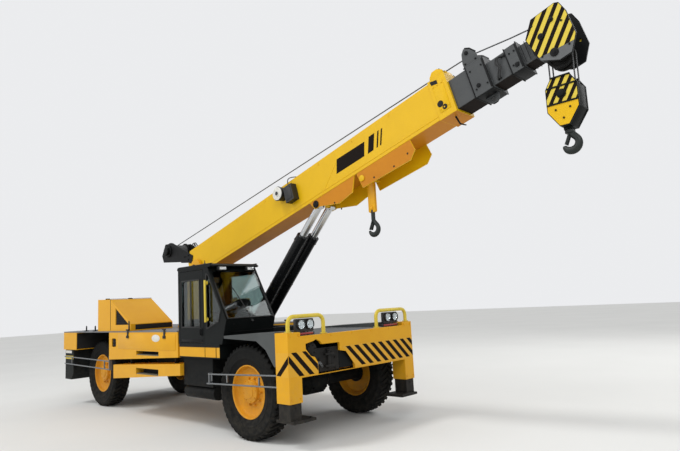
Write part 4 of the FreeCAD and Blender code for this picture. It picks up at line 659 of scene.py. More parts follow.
# Oil tank fittings.
# A knurled filler cap and a breather on top, a sight tube between steel unions on the side, and two suction
# hoses at the foot.
CAP_SPOT = (-4.05, 0.99)
tank_cap = bmesh.new()
add_rod(tank_cap, at(*CAP_SPOT, 1.968), at(*CAP_SPOT, 1.995), 0.066, tip=0.060, sides=32, edge=0.006)
for low, high in zip(around(at(*CAP_SPOT, 1.97), 0.064, 16, plane="xy"),
                     around(at(*CAP_SPOT, 1.992), 0.061, 16, plane="xy")):
    add_rod(tank_cap, low, high, 0.005, sides=8)
add_rod(tank_cap, at(-3.20, 0.99, 1.92), at(-3.20, 0.99, 1.955), 0.035, sides=24, edge=0.004)
piece("tank_cap", tank_cap, black_steel, "chassis")
gauge = bmesh.new()
for z in (1.54, 1.82):
    add_rod(gauge, at(-3.35, 1.188, z), at(-3.35, 1.215, z), 0.014, sides=12, edge=0.002)
add_rod(gauge, at(-3.35, 1.206, 1.54), at(-3.35, 1.206, 1.82), 0.008, sides=14)
piece("tank_sight_tube", gauge, rod_steel, "chassis")


def hose(name, spots, radius, finish, body, place=None):
    """A rubber or steel line fixed at both ends, drawn as one smooth spline."""
    curve = bpy.data.curves.new(name, "CURVE")
    curve.dimensions = "3D"
    spline = curve.splines.new("NURBS")
    spline.points.add(len(spots) - 1)
    for point, spot in zip(spline.points, spots):
        spot = Vector(spot) if place is None else place @ Vector(spot)
        point.co = (*spot, 1)
    spline.order_u = 3
    spline.use_endpoint_u = True
    spline.resolution_u = 8
    curve.bevel_depth = radius
    curve.bevel_resolution = 3
    curve.use_fill_caps = True
    curve.materials.append(finish)
    made = bpy.data.objects.new(name, curve)
    bpy.context.collection.objects.link(made)
    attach(made, body)
    return made


for name, x in (("suction_hose_rear", -3.70), ("suction_hose_front", -3.50)):
    hose(name, [at(x - 0.05, 0.60, 1.50), at(x - 0.05, 0.50, 1.50), at(x - 0.04, 0.44, 1.50),
                at(x, 0.42, 1.47), at(x, 0.42, 1.43)], 0.02, rubber, "chassis")

# Front bumper markings.
# Amber reflective tape with slanted black bars is stuck along the bumper's lower half and turns the corner
# of the right sleeve as a chevron. Film is a millimetre thick here, so that each layer shows.
FILM_THICK = 0.001
BAR_WIDE = 0.084


def add_bars(shape, outline, bars, depth):
    """Bars of film cut off along a convex outline, each one a thin plate."""
    middle = sum(outline, Vector()) / len(outline)
    for bar in bars:
        part = bmesh.new()
        part.faces.new([part.verts.new(corner) for corner in bar])
        for here, there in zip(outline, outline[1:] + outline[:1]):
            outward = (there - here).cross(Vector(depth))
            if outward.dot(middle - here) > 0:
                outward.negate()
            bmesh.ops.bisect_plane(part, geom=part.verts[:] + part.edges[:] + part.faces[:], plane_co=here,
                                   plane_no=outward.normalized(), clear_outer=True)
        if part.faces:
            corners = [vert.co.copy() for face in part.faces for vert in face.verts]
            part.free()
            add_plate(shape, corners, depth)
        else:
            part.free()


def slanted(x, y_top, y_low, z_top, z_low, width):
    """A bar's four corners on an upright face across the crane."""
    return [at(x, y_top, z_top), at(x, y_top + width, z_top), at(x, y_low + width, z_low),
            at(x, y_low, z_low)]


FILM = 0.9545
far_edge = [at(FILM, -0.296, 1.165), at(FILM, 1.246, 1.165), at(FILM, 1.246, 0.862), at(FILM, -0.037, 0.862)]
near_edge = [at(FILM, -1.247, 1.160), at(FILM, -0.960, 1.160), at(FILM, -0.765, 0.985),
             at(FILM, -0.758, 0.868), at(FILM, -1.247, 0.868)]
side_edge = [at(0.95, -1.2505, 1.160), at(0.72, -1.2505, 1.160), at(0.72, -1.2505, 0.868),
             at(0.95, -1.2505, 0.868)]
grounds = bmesh.new()
add_plate(grounds, far_edge, (FILM_THICK, 0, 0))
add_plate(grounds, near_edge, (FILM_THICK, 0, 0))
add_plate(grounds, side_edge, (0, -FILM_THICK, 0))
piece("bumper_tape_ground", grounds, amber_tape, "chassis")
shape = bmesh.new()
BARS = FILM + FILM_THICK
far_in = [at(BARS, -0.285, 1.155), at(BARS, 1.243, 1.155), at(BARS, 1.243, 0.879), at(BARS, -0.045, 0.879)]
add_bars(shape, far_in, [slanted(BARS, -0.234 + shift, 0.075 + shift, 1.155, 0.879, BAR_WIDE)
                         for shift in (2 * BAR_WIDE * step for step in range(9))], (FILM_THICK, 0, 0))
near_in = [corner + Vector((FILM_THICK, 0, 0)) for corner in near_edge]
add_bars(shape, near_in, [slanted(BARS, y_top, y_low, z_top, 0.868, BAR_WIDE)
                          for y_top, y_low, z_top in ((-1.204, -0.910, 1.160), (-1.022, -0.728, 1.160),
                                                      (-1.345, -1.082, 1.148))], (FILM_THICK, 0, 0))
side_in = [corner - Vector((0, FILM_THICK, 0)) for corner in side_edge]
add_bars(shape, side_in, [[at(0.955, -1.2515, 1.125), at(0.955, -1.2515, 1.035), at(0.80, -1.2515, 0.88),
                           at(0.72, -1.2515, 0.885)]], (0, -FILM_THICK, 0))
piece("bumper_tape_bars", shape, black_tape, "chassis")
bolts = bmesh.new()
for y in (-1.22, -1.07, 1.07, 1.22):
    for z in (0.60, 1.36):
        add_nut(bolts, at(0.954, y, z), (0.012, 0, 0), 0.012)
for y in (-0.5, -0.1, 0.3, 0.7):
    add_nut(bolts, at(0.954, y, 1.325), (0.008, 0, 0), 0.009)
piece("bumper_bolts", bolts, body_paint, "chassis")

# Head lamps.
# In each guard a black moulded panel holds two round lamps, each a clear lens over a silvered bowl, with
# a red reflector strip below. The panel stands on the shelf behind the bumper.
LAMP_UP = 1.49
LAMP_RING = [(0.066, 0.0), (0.068, 0.030), (0.064, 0.036), (0.058, 0.034), (0.056, 0.0)]
LAMP_BOWL = [(0.056, 0.022), (0.048, 0.010), (0.030, 0.004), (0.014, 0.003), (0.012, 0.014), (0.0, 0.016),
             (0.0, 0.0), (0.056, 0.0)]
LAMP_GLASS = [(0.0, 0.036), (0.030, 0.034), (0.056, 0.028), (0.056, 0.025), (0.030, 0.031), (0.0, 0.033)]
black_plastic = lay_pattern(new_finish("moulded_black_plastic", "#131415", Roughness=0.5), "TexNoise",
                            {"Scale": 400, "Detail": 2}, relief=(0.2, 0.0005))
silver = lay_pattern(new_finish("silvered_lamp_bowl", "#D9DCDD", Metallic=1.0, Roughness=0.22), "TexVoronoi",
                     {"Scale": 70}, "Distance", relief=(0.5, 0.004))
clear_lens = new_finish("clear_moulded_lens", "#F2F6F7", Roughness=0.05, IOR=1.49, Transmission_Weight=1.0)
lay_pattern(clear_lens, "TexWave", {"Scale": 40}, relief=(0.15, 0.001), bands_direction="Y")
panels, bowls, glasses, reflectors = bmesh.new(), bmesh.new(), bmesh.new(), bmesh.new()
for first, last in ((-0.983, -0.832), (0.743, 0.909)):
    middle, span = (first + last) / 2, last - first
    add_block(panels, at(0.876, middle, 1.478), (0.045, span + 0.165, 0.165), 0.012)
    add_block(panels, at(0.876, middle, 1.372), (0.03, span + 0.20, 0.036), 0.006)
    for y in (first, last):
        take_in(panels, turned(LAMP_RING, 40), aim(at(0.896, y, LAMP_UP), (1, 0, 0)))
        take_in(bowls, turned(LAMP_BOWL, 32), aim(at(0.897, y, LAMP_UP), (1, 0, 0)))
        take_in(glasses, turned(LAMP_GLASS, 32), aim(at(0.897, y, LAMP_UP), (1, 0, 0)))
        add_rod(panels, at(0.869, y, 1.35), at(0.869, y, 1.42), 0.010, sides=14)
    add_block(reflectors, at(0.893, middle, 1.374), (0.008, span + 0.14, 0.024), 0.002)
made = piece("head_lamp_panels", panels, black_plastic, "chassis")
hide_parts("head_lamps")
piece("head_lamp_bowls", bowls, silver, "chassis")
piece("head_lamp_lenses", glasses, clear_lens, "chassis")
piece("front_reflectors", reflectors, red_lens, "chassis")

# Lamp guards and wheel guard rails.
# The hoops are bent steel tube in pale yellow enamel on bolted foot flanges; the rails beside the wheels
# are galvanised round bar, grey and slightly spangled.
hoop_paint = sprayed_paint("pale_yellow_hoop_enamel", "#D9C148", "#CDB541", 0.35)
dress(hoop_paint, "lamp_guards")
galvanised = lay_pattern(new_finish("galvanised_bar", "#6E7173", Metallic=0.6, Roughness=0.5), "TexVoronoi",
                         {"Scale": 90}, "Distance", tones=("#66696B", "#838688"))
dress(galvanised, "guard_rails")
feet = bmesh.new()
for y, z in ((-1.19, 1.40), (-0.575, 1.35), (0.50, 1.35), (1.19, 1.40)):
    add_rod(feet, at(0.894, y, z + 0.0005), at(0.894, y, z + 0.010), 0.046, sides=28, edge=0.002)
    for spot in around(at(0.894, y, z + 0.010), 0.036, 4, 45, "xy"):
        add_nut(feet, spot, (0, 0, 0.007), 0.006)
piece("hoop_feet", feet, hoop_paint, "chassis")
clips = bmesh.new()
for side in (-1, 1):
    for x in (-0.72, -0.35, 0.35):
        add_block(clips, at(x, side * 1.235, 0.790), (0.022, 0.020, 0.105), 0.004)
    for x, z in ((-5.7, 0.862), (-4.2, 0.836)):
        add_block(clips, at(x, side * 1.235, z), (0.022, 0.020, 0.14), 0.004)
piece("rail_spacers", clips, galvanised, "chassis")

# Towing hitch and stabiliser legs.
# A rough black casting behind the bumper's cut-out with a bolted drum cover, coupling pin and safety
# chain; the legs are black box steel on flat ground plates.
COVER_Y, COVER_UP = -0.82, 1.165
PIN = (0.918, -0.53)
dress(casting, "tow_hitch", "engine_block", "stabiliser_leg_left", "stabiliser_leg_right")
soften(0.005, "tow_hitch", "stabiliser_leg_left", "stabiliser_leg_right")
hitch_gear = bmesh.new()
add_rod(hitch_gear, at(0.905, COVER_Y, COVER_UP), at(0.925, COVER_Y, COVER_UP), 0.074, sides=32, edge=0.004)
for spot in around(at(0.922, COVER_Y, COVER_UP), 0.055, 6, 15, "yz"):
    add_nut(hitch_gear, spot, (0.014, 0, 0), 0.009)
add_rod(hitch_gear, at(*PIN, 0.90), at(*PIN, 1.13), 0.024, sides=20, edge=0.004)
add_rod(hitch_gear, at(*PIN, 1.128), at(*PIN, 1.150), 0.038, sides=20, edge=0.005)
for z in (0.935, 1.085):
    add_block(hitch_gear, at(0.920, -0.53, z), (0.060, 0.16, 0.03), 0.006)
for y in (-0.69, -0.40):
    for z in (0.90, 1.03):
        add_nut(hitch_gear, at(0.908, y, z), (0.014, 0, 0), 0.014)
piece("hitch_fittings", hitch_gear, casting, "chassis")
chain = bmesh.new()
for step in range(9):
    way = (1, 0, 0) if step % 2 else (0, 1, 0.25)
    add_ring(chain, at(0.925, -0.66 - 0.012 * step, 0.99 - 0.003 * (step - 4) ** 2), way, 0.014, 0.0035, 16)
piece("hitch_chain", chain, galvanised, "chassis")
for side_name, side in (("right", -1), ("left", 1)):
    pads = bmesh.new()
    for x in (0.70, 0.96):
        for y in (0.93, 1.18):
            add_nut(pads, at(x, side * y, 0.354), (0, 0, 0.016), 0.013)
    add_block(pads, at(0.832, side * 1.145, 0.50), (0.235, 0.006, 0.02), 0.001)
    piece("leg_pad_bolts_" + side_name, pads, casting, "leg_" + side_name)


# Cab shell.
# Folded steel sheet in black enamel round tinted glass held in rubber seals. Black trim frames the amber
# sill, with a strip of amber tape at its end; grab bar, work lamps, aerial stub and wiper are bolted on.
WALL_FACE = -1.2515
CAB_Y = -0.79
cab_paint = sprayed_paint("black_cab_enamel", "#0D1010", "#131616", 0.4, dust_share=0.05, gloss=0.1)
dress(cab_paint, "cab_frame", "cab_outer_wall", "cab_inner_wall", "cab_roof", "cab_door")
soften(0.004, "cab_frame", "cab_outer_wall", "cab_inner_wall", "cab_roof", "cab_door")
cab_glass_finish = new_finish("tinted_cab_glass", "#A9BAB8", Roughness=0.02, IOR=1.5,
                              Transmission_Weight=1.0)
lay_pattern(cab_glass_finish, "TexNoise", {"Scale": 3, "Detail": 5}, dulled=(0.0, 0.07))
dress(cab_glass_finish, "cab_glass", "door_glass")
sill = bmesh.new()
for x, z, long, tall in ((-1.02, 1.227, 1.06, 0.046), (-1.02, 1.058, 1.06, 0.016),
                         (-0.855, 1.135, 0.008, 0.14), (-0.577, 1.135, 0.012, 0.14)):
    add_block(sill, at(x, WALL_FACE, z), (long, 0.003, tall))
add_block(sill, at(-0.4885, CAB_Y, 1.15), (0.004, 0.92, 0.20))
piece("sill_trim", sill, cab_paint, "chassis")
ends = bmesh.new()
add_block(ends, at(-0.515, WALL_FACE, 1.135), (0.045, 0.003, 0.135))
piece("sill_reflective_end", ends, amber_tape, "chassis")

seals = bmesh.new()


def add_frame(shape, corners, width, depth):
    """A bead that follows a window's outline, one bar a side, with rounded joints."""
    for here, there in zip(corners, corners[1:] + corners[:1]):
        part = bmesh.new()
        way = there - here
        bmesh.ops.create_cube(part, size=1.0, matrix=Matrix.Diagonal((width, depth, way.length, 1)))
        bmesh.ops.bevel(part, geom=part.edges[:], offset=min(width, depth) * 0.3, affect="EDGES", segments=2,
                        profile=0.5, material=-1)
        side_way = Vector((0, 1, 0)) if abs(way.y) < 0.7 * way.length else Vector((1, 0, 0))
        across = way.normalized().cross(side_way).normalized()
        turn = Matrix((across, way.normalized().cross(across) * -1, way.normalized())).transposed().to_4x4()
        take_in(shape, part, Matrix.Translation((here + there) / 2) @ turn)
        half = Vector((0, depth / 2, 0))
        add_rod(shape, here - half, here + half, width / 2, sides=12)


add_frame(seals, [at(x, -1.2525, z) for x, z in ((-0.79, 1.47), (-0.50, 1.56), (-0.44, 1.73), (-0.74, 2.23),
                                                 (-0.79, 2.25))], 0.018, 0.012)
add_frame(seals, [at(x, -0.376, z) for x, z in ((-1.40, 1.60), (-0.48, 1.60), (-0.46, 1.74), (-0.76, 2.25),
                                                (-1.40, 2.25))], 0.018, 0.012)
SCREEN_SIDES = (-1.215, -0.415)
SCREEN_FOOT, SCREEN_HEAD = (-0.317, 1.60), (-0.735, 2.275)
for y in SCREEN_SIDES:
    add_rod(seals, at(SCREEN_FOOT[0], y, SCREEN_FOOT[1]), at(SCREEN_HEAD[0], y, SCREEN_HEAD[1]), 0.010,
            sides=12)
for x, z in (SCREEN_FOOT, SCREEN_HEAD):
    add_rod(seals, at(x, SCREEN_SIDES[0], z), at(x, SCREEN_SIDES[1], z), 0.010, sides=12)
piece("window_seals", seals, rubber, "chassis")
roof_gear = bmesh.new()
add_rod(roof_gear, at(-0.685, -1.23, 2.372), at(-0.685, -0.40, 2.372), 0.014, sides=14)
LAMP_PLACES = (-1.08, -0.58)
for y in LAMP_PLACES:
    add_block(roof_gear, at(-0.65, y, 2.322), (0.07, 0.13, 0.055), 0.010)
    add_block(roof_gear, at(-0.68, y, 2.352), (0.02, 0.03, 0.02), 0.003)
for y in (-1.22, -0.41):
    add_block(roof_gear, at(-1.13, y, 2.403), (0.90, 0.02, 0.006), 0.002)
add_rod(roof_gear, at(-1.02, -1.12, 2.40), at(-1.02, -1.12, 2.425), 0.026, tip=0.020, sides=20, edge=0.003)
add_rod(roof_gear, at(-1.02, -1.12, 2.42), at(-1.02, -1.12, 2.47), 0.009, tip=0.005, sides=12)
piece("cab_roof_fittings", roof_gear, black_plastic, "chassis")
work_lamps = bmesh.new()
for y in LAMP_PLACES:
    add_block(work_lamps, at(-0.612, y, 2.322), (0.004, 0.112, 0.040), 0.003)
piece("cab_work_lamps", work_lamps, silver, "chassis")

wiper = bmesh.new()
add_rod(wiper, at(-0.335, -0.80, 1.545), at(-0.318, -0.80, 1.56), 0.020, sides=16, edge=0.003)
add_rod(wiper, at(-0.318, -0.80, 1.565), at(-0.520, -0.90, 1.925), 0.006, sides=10)
add_rod(wiper, at(-0.455, -0.855, 1.79), at(-0.585, -0.945, 2.04), 0.008, sides=10)
piece("screen_wiper", wiper, black_plastic, "chassis")
grab = bmesh.new()
GRAB_X, GRAB_Y = -0.775, -1.285
add_rod(grab, at(GRAB_X, GRAB_Y, 1.56), at(GRAB_X, GRAB_Y, 2.16), 0.017, sides=18, edge=0.004)
for z in (1.60, 2.12):
    add_rod(grab, at(GRAB_X, GRAB_Y, z), at(GRAB_X, -1.25, z), 0.012, sides=14)
    add_rod(grab, at(GRAB_X, -1.256, z), at(GRAB_X, -1.25, z), 0.028, sides=18, edge=0.001)
piece("cab_grab_bar", grab, hoop_paint, "chassis")
nose = bmesh.new()
add_block(nose, at(-0.372, CAB_Y, 1.41), (0.006, 0.76, 0.012), 0.002, (0, 18, 0))
for y in (-1.12, -0.46):
    for z, x in ((1.31, -0.398), (1.52, -0.328)):
        add_nut(nose, at(x - 0.01, y, z), (0.018, 0, 0), 0.009)
piece("nose_panel_bolts", nose, black_steel, "chassis")

# Cab door fittings.
# The rubber seal and divider bar of the door's window, with a bolted pull handle and a kick strip of black
# steel. All of it moves with the door.
PULL_X, PULL_Y = -0.945, -1.272
door_gear = bmesh.new()
add_block(door_gear, at(-1.213, -1.251, 1.835), (0.030, 0.014, 0.69), 0.003)
add_frame(door_gear, [at(x, -1.252, z) for x, z in ((-1.47, 1.49), (-0.975, 1.49), (-0.975, 2.18),
                                                    (-1.47, 2.18))], 0.020, 0.012)
piece("door_window_seal", door_gear, rubber, "door")
door_pull = bmesh.new()
add_block(door_pull, at(PULL_X, -1.254, 1.42), (0.055, 0.010, 0.12), 0.004)
add_rod(door_pull, at(PULL_X, PULL_Y, 1.375), at(PULL_X, PULL_Y, 1.465), 0.009, sides=14, edge=0.002)
for z in (1.382, 1.458):
    add_rod(door_pull, at(PULL_X, PULL_Y, z), at(PULL_X, -1.255, z), 0.007, sides=12)
add_block(door_pull, at(-1.195, WALL_FACE, 1.30), (0.56, 0.004, 0.03), 0.001)
piece("door_pull", door_pull, black_steel, "door")

# Driver's seat.
# A padded seat in black vinyl: two crowned cushions swollen from their foam shapes, each with two sewn
# grooves, on a moulded base with a folded boot.
SEAT_Y = -0.77
CUSHION_RISE = 0.010
vinyl = lay_pattern(new_finish("grained_black_vinyl", "#1A1B1C", Roughness=0.5), "TexVoronoi",
                    {"Scale": 420}, "Distance", relief=(0.35, 0.0008))
lay_pattern(vinyl, "TexNoise", {"Scale": 7, "Detail": 4}, tones=("#161718", "#242526"))


def swell(name, sides, spot, tip):
    """A foam block swollen by air under its cover, no point by more than the rise, then placed and tipped."""
    part = bmesh.new()
    bmesh.ops.create_cube(part, size=1.0, matrix=Matrix.Diagonal((*sides, 1)))
    bmesh.ops.bevel(part, geom=part.edges[:], offset=0.022, affect="EDGES", segments=3, profile=0.5,
                    material=-1)
    mesh = bpy.data.meshes.new(name)
    part.to_mesh(mesh)
    part.free()
    mesh.materials.append(vinyl)
    pad = bpy.data.objects.new(name, mesh)
    bpy.context.collection.objects.link(pad)
    remesh = pad.modifiers.new("cover", "REMESH")
    remesh.mode = "VOXEL"
    remesh.voxel_size = 0.008
    depsgraph = bpy.context.evaluated_depsgraph_get()
    pad.data = bpy.data.meshes.new_from_object(pad.evaluated_get(depsgraph))
    pad.modifiers.clear()
    start = [vert.co.copy() for vert in pad.data.vertices]
    cloth = pad.modifiers.new("air", "CLOTH")
    cloth.settings.use_pressure = True
    cloth.settings.uniform_pressure_force = 4
    cloth.settings.effector_weights.gravity = 0
    cloth.settings.quality = 5
    for frame_number in range(1, 21):
        bpy.context.scene.frame_set(frame_number)
    depsgraph = bpy.context.evaluated_depsgraph_get()
    pad.data = bpy.data.meshes.new_from_object(pad.evaluated_get(depsgraph))
    pad.modifiers.clear()
    bpy.context.scene.frame_set(1)
    for vert, before in zip(pad.data.vertices, start):
        move = vert.co - before
        if move.length > CUSHION_RISE:
            vert.co = before + move.normalized() * CUSHION_RISE
        middle_share = max(0.0, 1 - (2 * vert.co.x / sides[0]) ** 2)
        middle_share *= max(0.0, 1 - (2 * vert.co.y / sides[1]) ** 2)
        groove = math.exp(-((abs(vert.co.y) - sides[1] * 0.27) / 0.007) ** 2) * 0.008
        if vert.co.z > 0:
            vert.co.z += 0.012 * middle_share - groove
    for face in pad.data.polygons:
        face.use_smooth = True
    pad.data.transform(Matrix.Translation(spot) @ Matrix.Rotation(math.radians(tip), 4, "Y"))
    finer = pad.modifiers.new("finer", "SUBSURF")
    finer.levels = finer.render_levels = 1
    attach(pad, "chassis")
    return pad


cushion = swell("seat_cushion", (0.44, 0.44, 0.095), at(-1.13, SEAT_Y, 1.605), 0)
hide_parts("driver_seat")
back_rest = swell("seat_back_rest", (0.50, 0.42, 0.085), at(-1.365, SEAT_Y, 1.915), 79)
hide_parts("driver_seat")
seat_base = bmesh.new()
add_block(seat_base, at(-1.12, SEAT_Y, 1.285), (0.40, 0.36, 0.06), 0.008)
for step in range(5):
    fold = 0.02 * (step % 2)
    add_block(seat_base, at(-1.12, SEAT_Y, 1.335 + 0.036 * step), (0.33 - fold, 0.30 - fold, 0.030), 0.012)
add_block(seat_base, at(-1.12, SEAT_Y, 1.535), (0.40, 0.38, 0.035), 0.008)
add_block(seat_base, at(-1.395, SEAT_Y, 1.66), (0.025, 0.30, 0.16), 0.006, (0, -12, 0))
add_rod(seat_base, at(-0.95, -1.00, 1.54), at(-1.12, -1.00, 1.54), 0.008, sides=12, edge=0.002)
piece("seat_base", seat_base, black_plastic, "chassis")

# Driver's controls.
# A moulded console with a plain gauge panel, a steering wheel of three spokes tipped towards the seat, five
# levers with ball knobs beside the seat and two pedals.
WHEEL_TIP = math.radians(38)
LEVER_Y = -0.475
trim_plastic = sprayed_paint("moulded_trim_plastic", "#17181A", "#1E2022", 0.55, dust_share=0.0)
dress(trim_plastic, "driver_console")
panel = bmesh.new()
add_block(panel, at(-0.575, SEAT_Y, 1.672), (0.16, 0.27, 0.012), 0.003, (0, 14, 0))
for x, y, radius in ((-0.57, -0.84, 0.036), (-0.57, -0.70, 0.036), (-0.615, SEAT_Y, 0.022)):
    add_rod(panel, at(x, y, 1.678), at(x, y, 1.690), radius, sides=28, edge=0.003)
for step in range(6):
    add_block(panel, at(-0.535, -0.86 + 0.036 * step, 1.686), (0.018, 0.022, 0.012), 0.002, (0, 14, 0))
piece("gauge_panel", panel, black_plastic, "chassis")
faces = bmesh.new()
for y in (-0.84, -0.70):
    add_rod(faces, at(-0.57, y, 1.6902), at(-0.57, y, 1.6912), 0.031, sides=28)
piece("gauge_faces", faces, plate_white, "chassis")
wheel = bmesh.new()
tip_way = Vector((-math.sin(WHEEL_TIP), 0, math.cos(WHEEL_TIP)))
hub_spot = at(-0.70, SEAT_Y, 1.74)
add_ring(wheel, hub_spot, tip_way, 0.178, 0.0135, 56)
side_way = Vector((0, 1, 0))
for step in range(3):
    angle = math.radians(120 * step + 90)
    spoke = side_way * math.cos(angle) + tip_way.cross(side_way) * math.sin(angle)
    add_rod(wheel, hub_spot - tip_way * 0.02, hub_spot + spoke * 0.17, 0.011, tip=0.009, sides=12)
add_rod(wheel, hub_spot - tip_way * 0.05, hub_spot + tip_way * 0.006, 0.036, tip=0.030, sides=28, edge=0.004)
piece("steering_wheel_rim", wheel, black_plastic, "chassis")
levers = bmesh.new()
add_block(levers, at(-0.93, LEVER_Y, 1.42), (0.42, 0.07, 0.34), 0.01)
for step in range(5):
    x = -1.09 + 0.08 * step
    add_rod(levers, at(x, LEVER_Y, 1.585), at(x, LEVER_Y, 1.625), 0.018, tip=0.008, sides=14)
    add_rod(levers, at(x, LEVER_Y, 1.60), at(x + 0.02, LEVER_Y, 1.74), 0.005, sides=10)
    ball = bmesh.new()
    bmesh.ops.create_uvsphere(ball, u_segments=16, v_segments=10, radius=0.017)
    take_in(levers, ball, Matrix.Translation(at(x + 0.022, LEVER_Y, 1.752)))
for y in (-0.86, -0.70):
    add_block(levers, at(-0.50, y, 1.33), (0.014, 0.07, 0.13), 0.004, (0, 30, 0))
piece("hand_levers", levers, black_plastic, "chassis")

# Boom mast and lift rams.
# Pins with keeper plates through the amber cheeks. The rams are honed tubes in gloss black with gland
# bolts and chromed rods, and steel oil pipes clipped along them.
RAM_TIP = 45.977
RAM_PORTS = (0.34, 1.98)
pins = bmesh.new()
for side in (-1, 1):
    spot = at(-2.6786, side * 0.28, 2.4844)
    add_rod(pins, spot, spot + Vector((0, side * 0.012, 0)), 0.075, sides=32, edge=0.004)
    add_block(pins, spot + Vector((0.055, side * 0.012, -0.03)), (0.11, 0.010, 0.035), 0.003, (0, 30, 0))
    for bolt in around(spot + Vector((0, side * 0.012, 0)), 0.045, 3, 20):
        add_nut(pins, bolt, (0, side * 0.010, 0), 0.010)
piece("mast_pin_keepers", pins, black_steel, "chassis")
ribs_shape = bmesh.new()
for side in (-1, 1):
    for x0, x1 in ((-3.25, -2.86), (-2.10, -2.50)):
        add_plate(ribs_shape, [at(x0, side * 0.256, 1.445), at(x0 + 0.03, side * 0.256, 1.445),
                               at(x1 + 0.03, side * 0.256, 2.30), at(x1, side * 0.256, 2.30)],
                  (0, side * 0.030, 0), 0.002)
    add_block(ribs_shape, at(-2.68, side * 0.262, 1.452), (1.15, 0.045, 0.018), 0.003)
piece("mast_ribs", ribs_shape, body_paint, "chassis")
ram_paint = sprayed_paint("gloss_black_ram_enamel", "#0D0E0F", "#131415", 0.26, dust_share=0.05)
dress(ram_paint, "lift_barrels")
FOOT = at(-1.40, 0, 1.235)
RAM_WAY = Vector((math.cos(math.radians(RAM_TIP)), 0, math.sin(math.radians(RAM_TIP))))
RAM_OVER = Vector((-RAM_WAY.z, 0, RAM_WAY.x))
collars, lines = bmesh.new(), bmesh.new()
for y in (-0.112, 0.112):
    base = FOOT + Vector((0, y, 0))
    for along, radius, length in ((0.24, 0.089, 0.030), (1.20, 0.0855, 0.022), (2.02, 0.0905, 0.016)):
        add_rod(collars, base + RAM_WAY * along, base + RAM_WAY * (along + length), radius, sides=40,
                edge=0.003)
    for step in range(8):
        angle = math.radians(45 * step)
        off = RAM_OVER * 0.074 * math.cos(angle) + Vector((0, 0.074 * math.sin(angle), 0))
        add_nut(collars, base + off + RAM_WAY * 2.118, RAM_WAY * 0.012, 0.008)
    for along in RAM_PORTS:
        add_nut(collars, base + RAM_WAY * along + RAM_OVER * 0.078, RAM_OVER * 0.034, 0.020)
    pipe = base + RAM_OVER * 0.104
    add_rod(lines, pipe + RAM_WAY * RAM_PORTS[0], pipe + RAM_WAY * RAM_PORTS[1], 0.009, sides=12)
    for along in (RAM_PORTS[0], 1.10, RAM_PORTS[1]):
        add_block(lines, base + RAM_WAY * along + RAM_OVER * 0.100, (0.024, 0.030, 0.026), 0.004,
                  (0, -RAM_TIP, 0))
piece("ram_collars", collars, ram_paint, "ram_barrels")
piece("ram_oil_pipes", lines, rod_steel, "ram_barrels")
eyes = bmesh.new()
rod_eye = at(0.4718, 0, 3.1717)
for side in (-1, 1):
    add_rod(eyes, rod_eye + Vector((0, side * 0.190, 0)), rod_eye + Vector((0, side * 0.202, 0)), 0.055,
            sides=32, edge=0.004)
    for bolt in around(rod_eye + Vector((0, side * 0.202, 0)), 0.034, 3, 90):
        add_nut(eyes, bolt, (0, side * 0.008, 0), 0.008)
piece("ram_pin_keepers", eyes, black_steel, "boom_outer")

# Boom base section.
# A box folded and welded from steel plate in yellow enamel, its lower seam a raised weld. Slanted panels of
# plain black film stand on its right side where the real one is lettered; bolts ring the collar.
BOOM_TIP = 15.33
BOOM = Matrix.Translation((MIDDLE, 0, 3.115)) @ Matrix.Rotation(math.radians(-BOOM_TIP), 4, "Y")
boom_paint = sprayed_paint("boom_yellow_enamel", "#DDB00E", "#D6A90E", 0.38, dust_share=0.0)
dress(boom_paint, "boom_base_section")
soften(0.006, "boom_base_section")
welds = bmesh.new()
for side in (-1, 1):
    add_rod(welds, (-3.02, side * 0.1870, 0.050), (2.77, side * 0.1870, 0.050), 0.0045, sides=8)
    add_rod(welds, (2.779, side * 0.1875, 0.0), (2.779, side * 0.1875, 0.51), 0.0045, sides=8)
    add_rod(welds, (1.034, side * 0.1872, 0.321), (0.598, side * 0.1872, -0.02), 0.003, sides=8)
    add_block(welds, (2.90, side * 0.203, 0.265), (0.16, 0.006, 0.40), 0.002)
    for along in (2.84, 2.90, 2.96):
        for up in (0.11, 0.42):
            add_nut(welds, (along, side * 0.203, up), (0, side * 0.010, 0), 0.010)
    for along in (-2.2, -1.4, -0.6, 0.7, 1.4, 2.1):
        add_nut(welds, (along, side * 0.1865, 0.468), (0, side * 0.0075, 0), 0.010)
for along in (-2.4, -1.2, 0.2, 1.4, 2.4):
    for across in (-0.12, 0.12):
        add_nut(welds, (along, across, 0.509), (0, 0, 0.009), 0.012)
piece("boom_welds_and_bolts", welds, boom_paint, "boom_outer", BOOM)
film = bmesh.new()
for corners in ([(1.061, 0.360), (1.610, 0.347), (1.543, 0.159), (0.992, 0.164)],
                [(1.700, 0.369), (1.806, 0.372), (1.716, 0.160), (1.610, 0.157)],
                [(1.860, 0.368), (1.886, 0.368), (1.798, 0.162), (1.772, 0.162)],
                [(1.924, 0.366), (1.950, 0.366), (1.862, 0.162), (1.836, 0.162)]):
    add_plate(film, [(along, -0.1873, up) for along, up in corners], (0, -FILM_THICK, 0))
piece("boom_film_panels", film, black_tape, "boom_outer", BOOM)
marks = bmesh.new()
for side in (-1, 1):
    add_plate(marks, [(along, side * 0.2065, up) for along, up in
                      ((2.815, 0.508), (2.912, 0.482), (2.912, 0.430), (2.825, 0.452))],
              (0, side * 0.0015, 0))
    add_rod(marks, (2.858, side * 0.2062, 0.175), (2.858, side * 0.208, 0.175), 0.042, sides=24)
    add_rod(marks, (2.905, side * 0.2062, 0.110), (2.905, side * 0.208, 0.110), 0.034, sides=20)
    for along, up in ((0.60, -0.165), (0.82, -0.205), (1.60, -0.19), (1.95, -0.205), (2.20, -0.15)):
        add_rod(marks, (along, side * 0.1855, up), (along, side * 0.187, up), 0.014, sides=18)
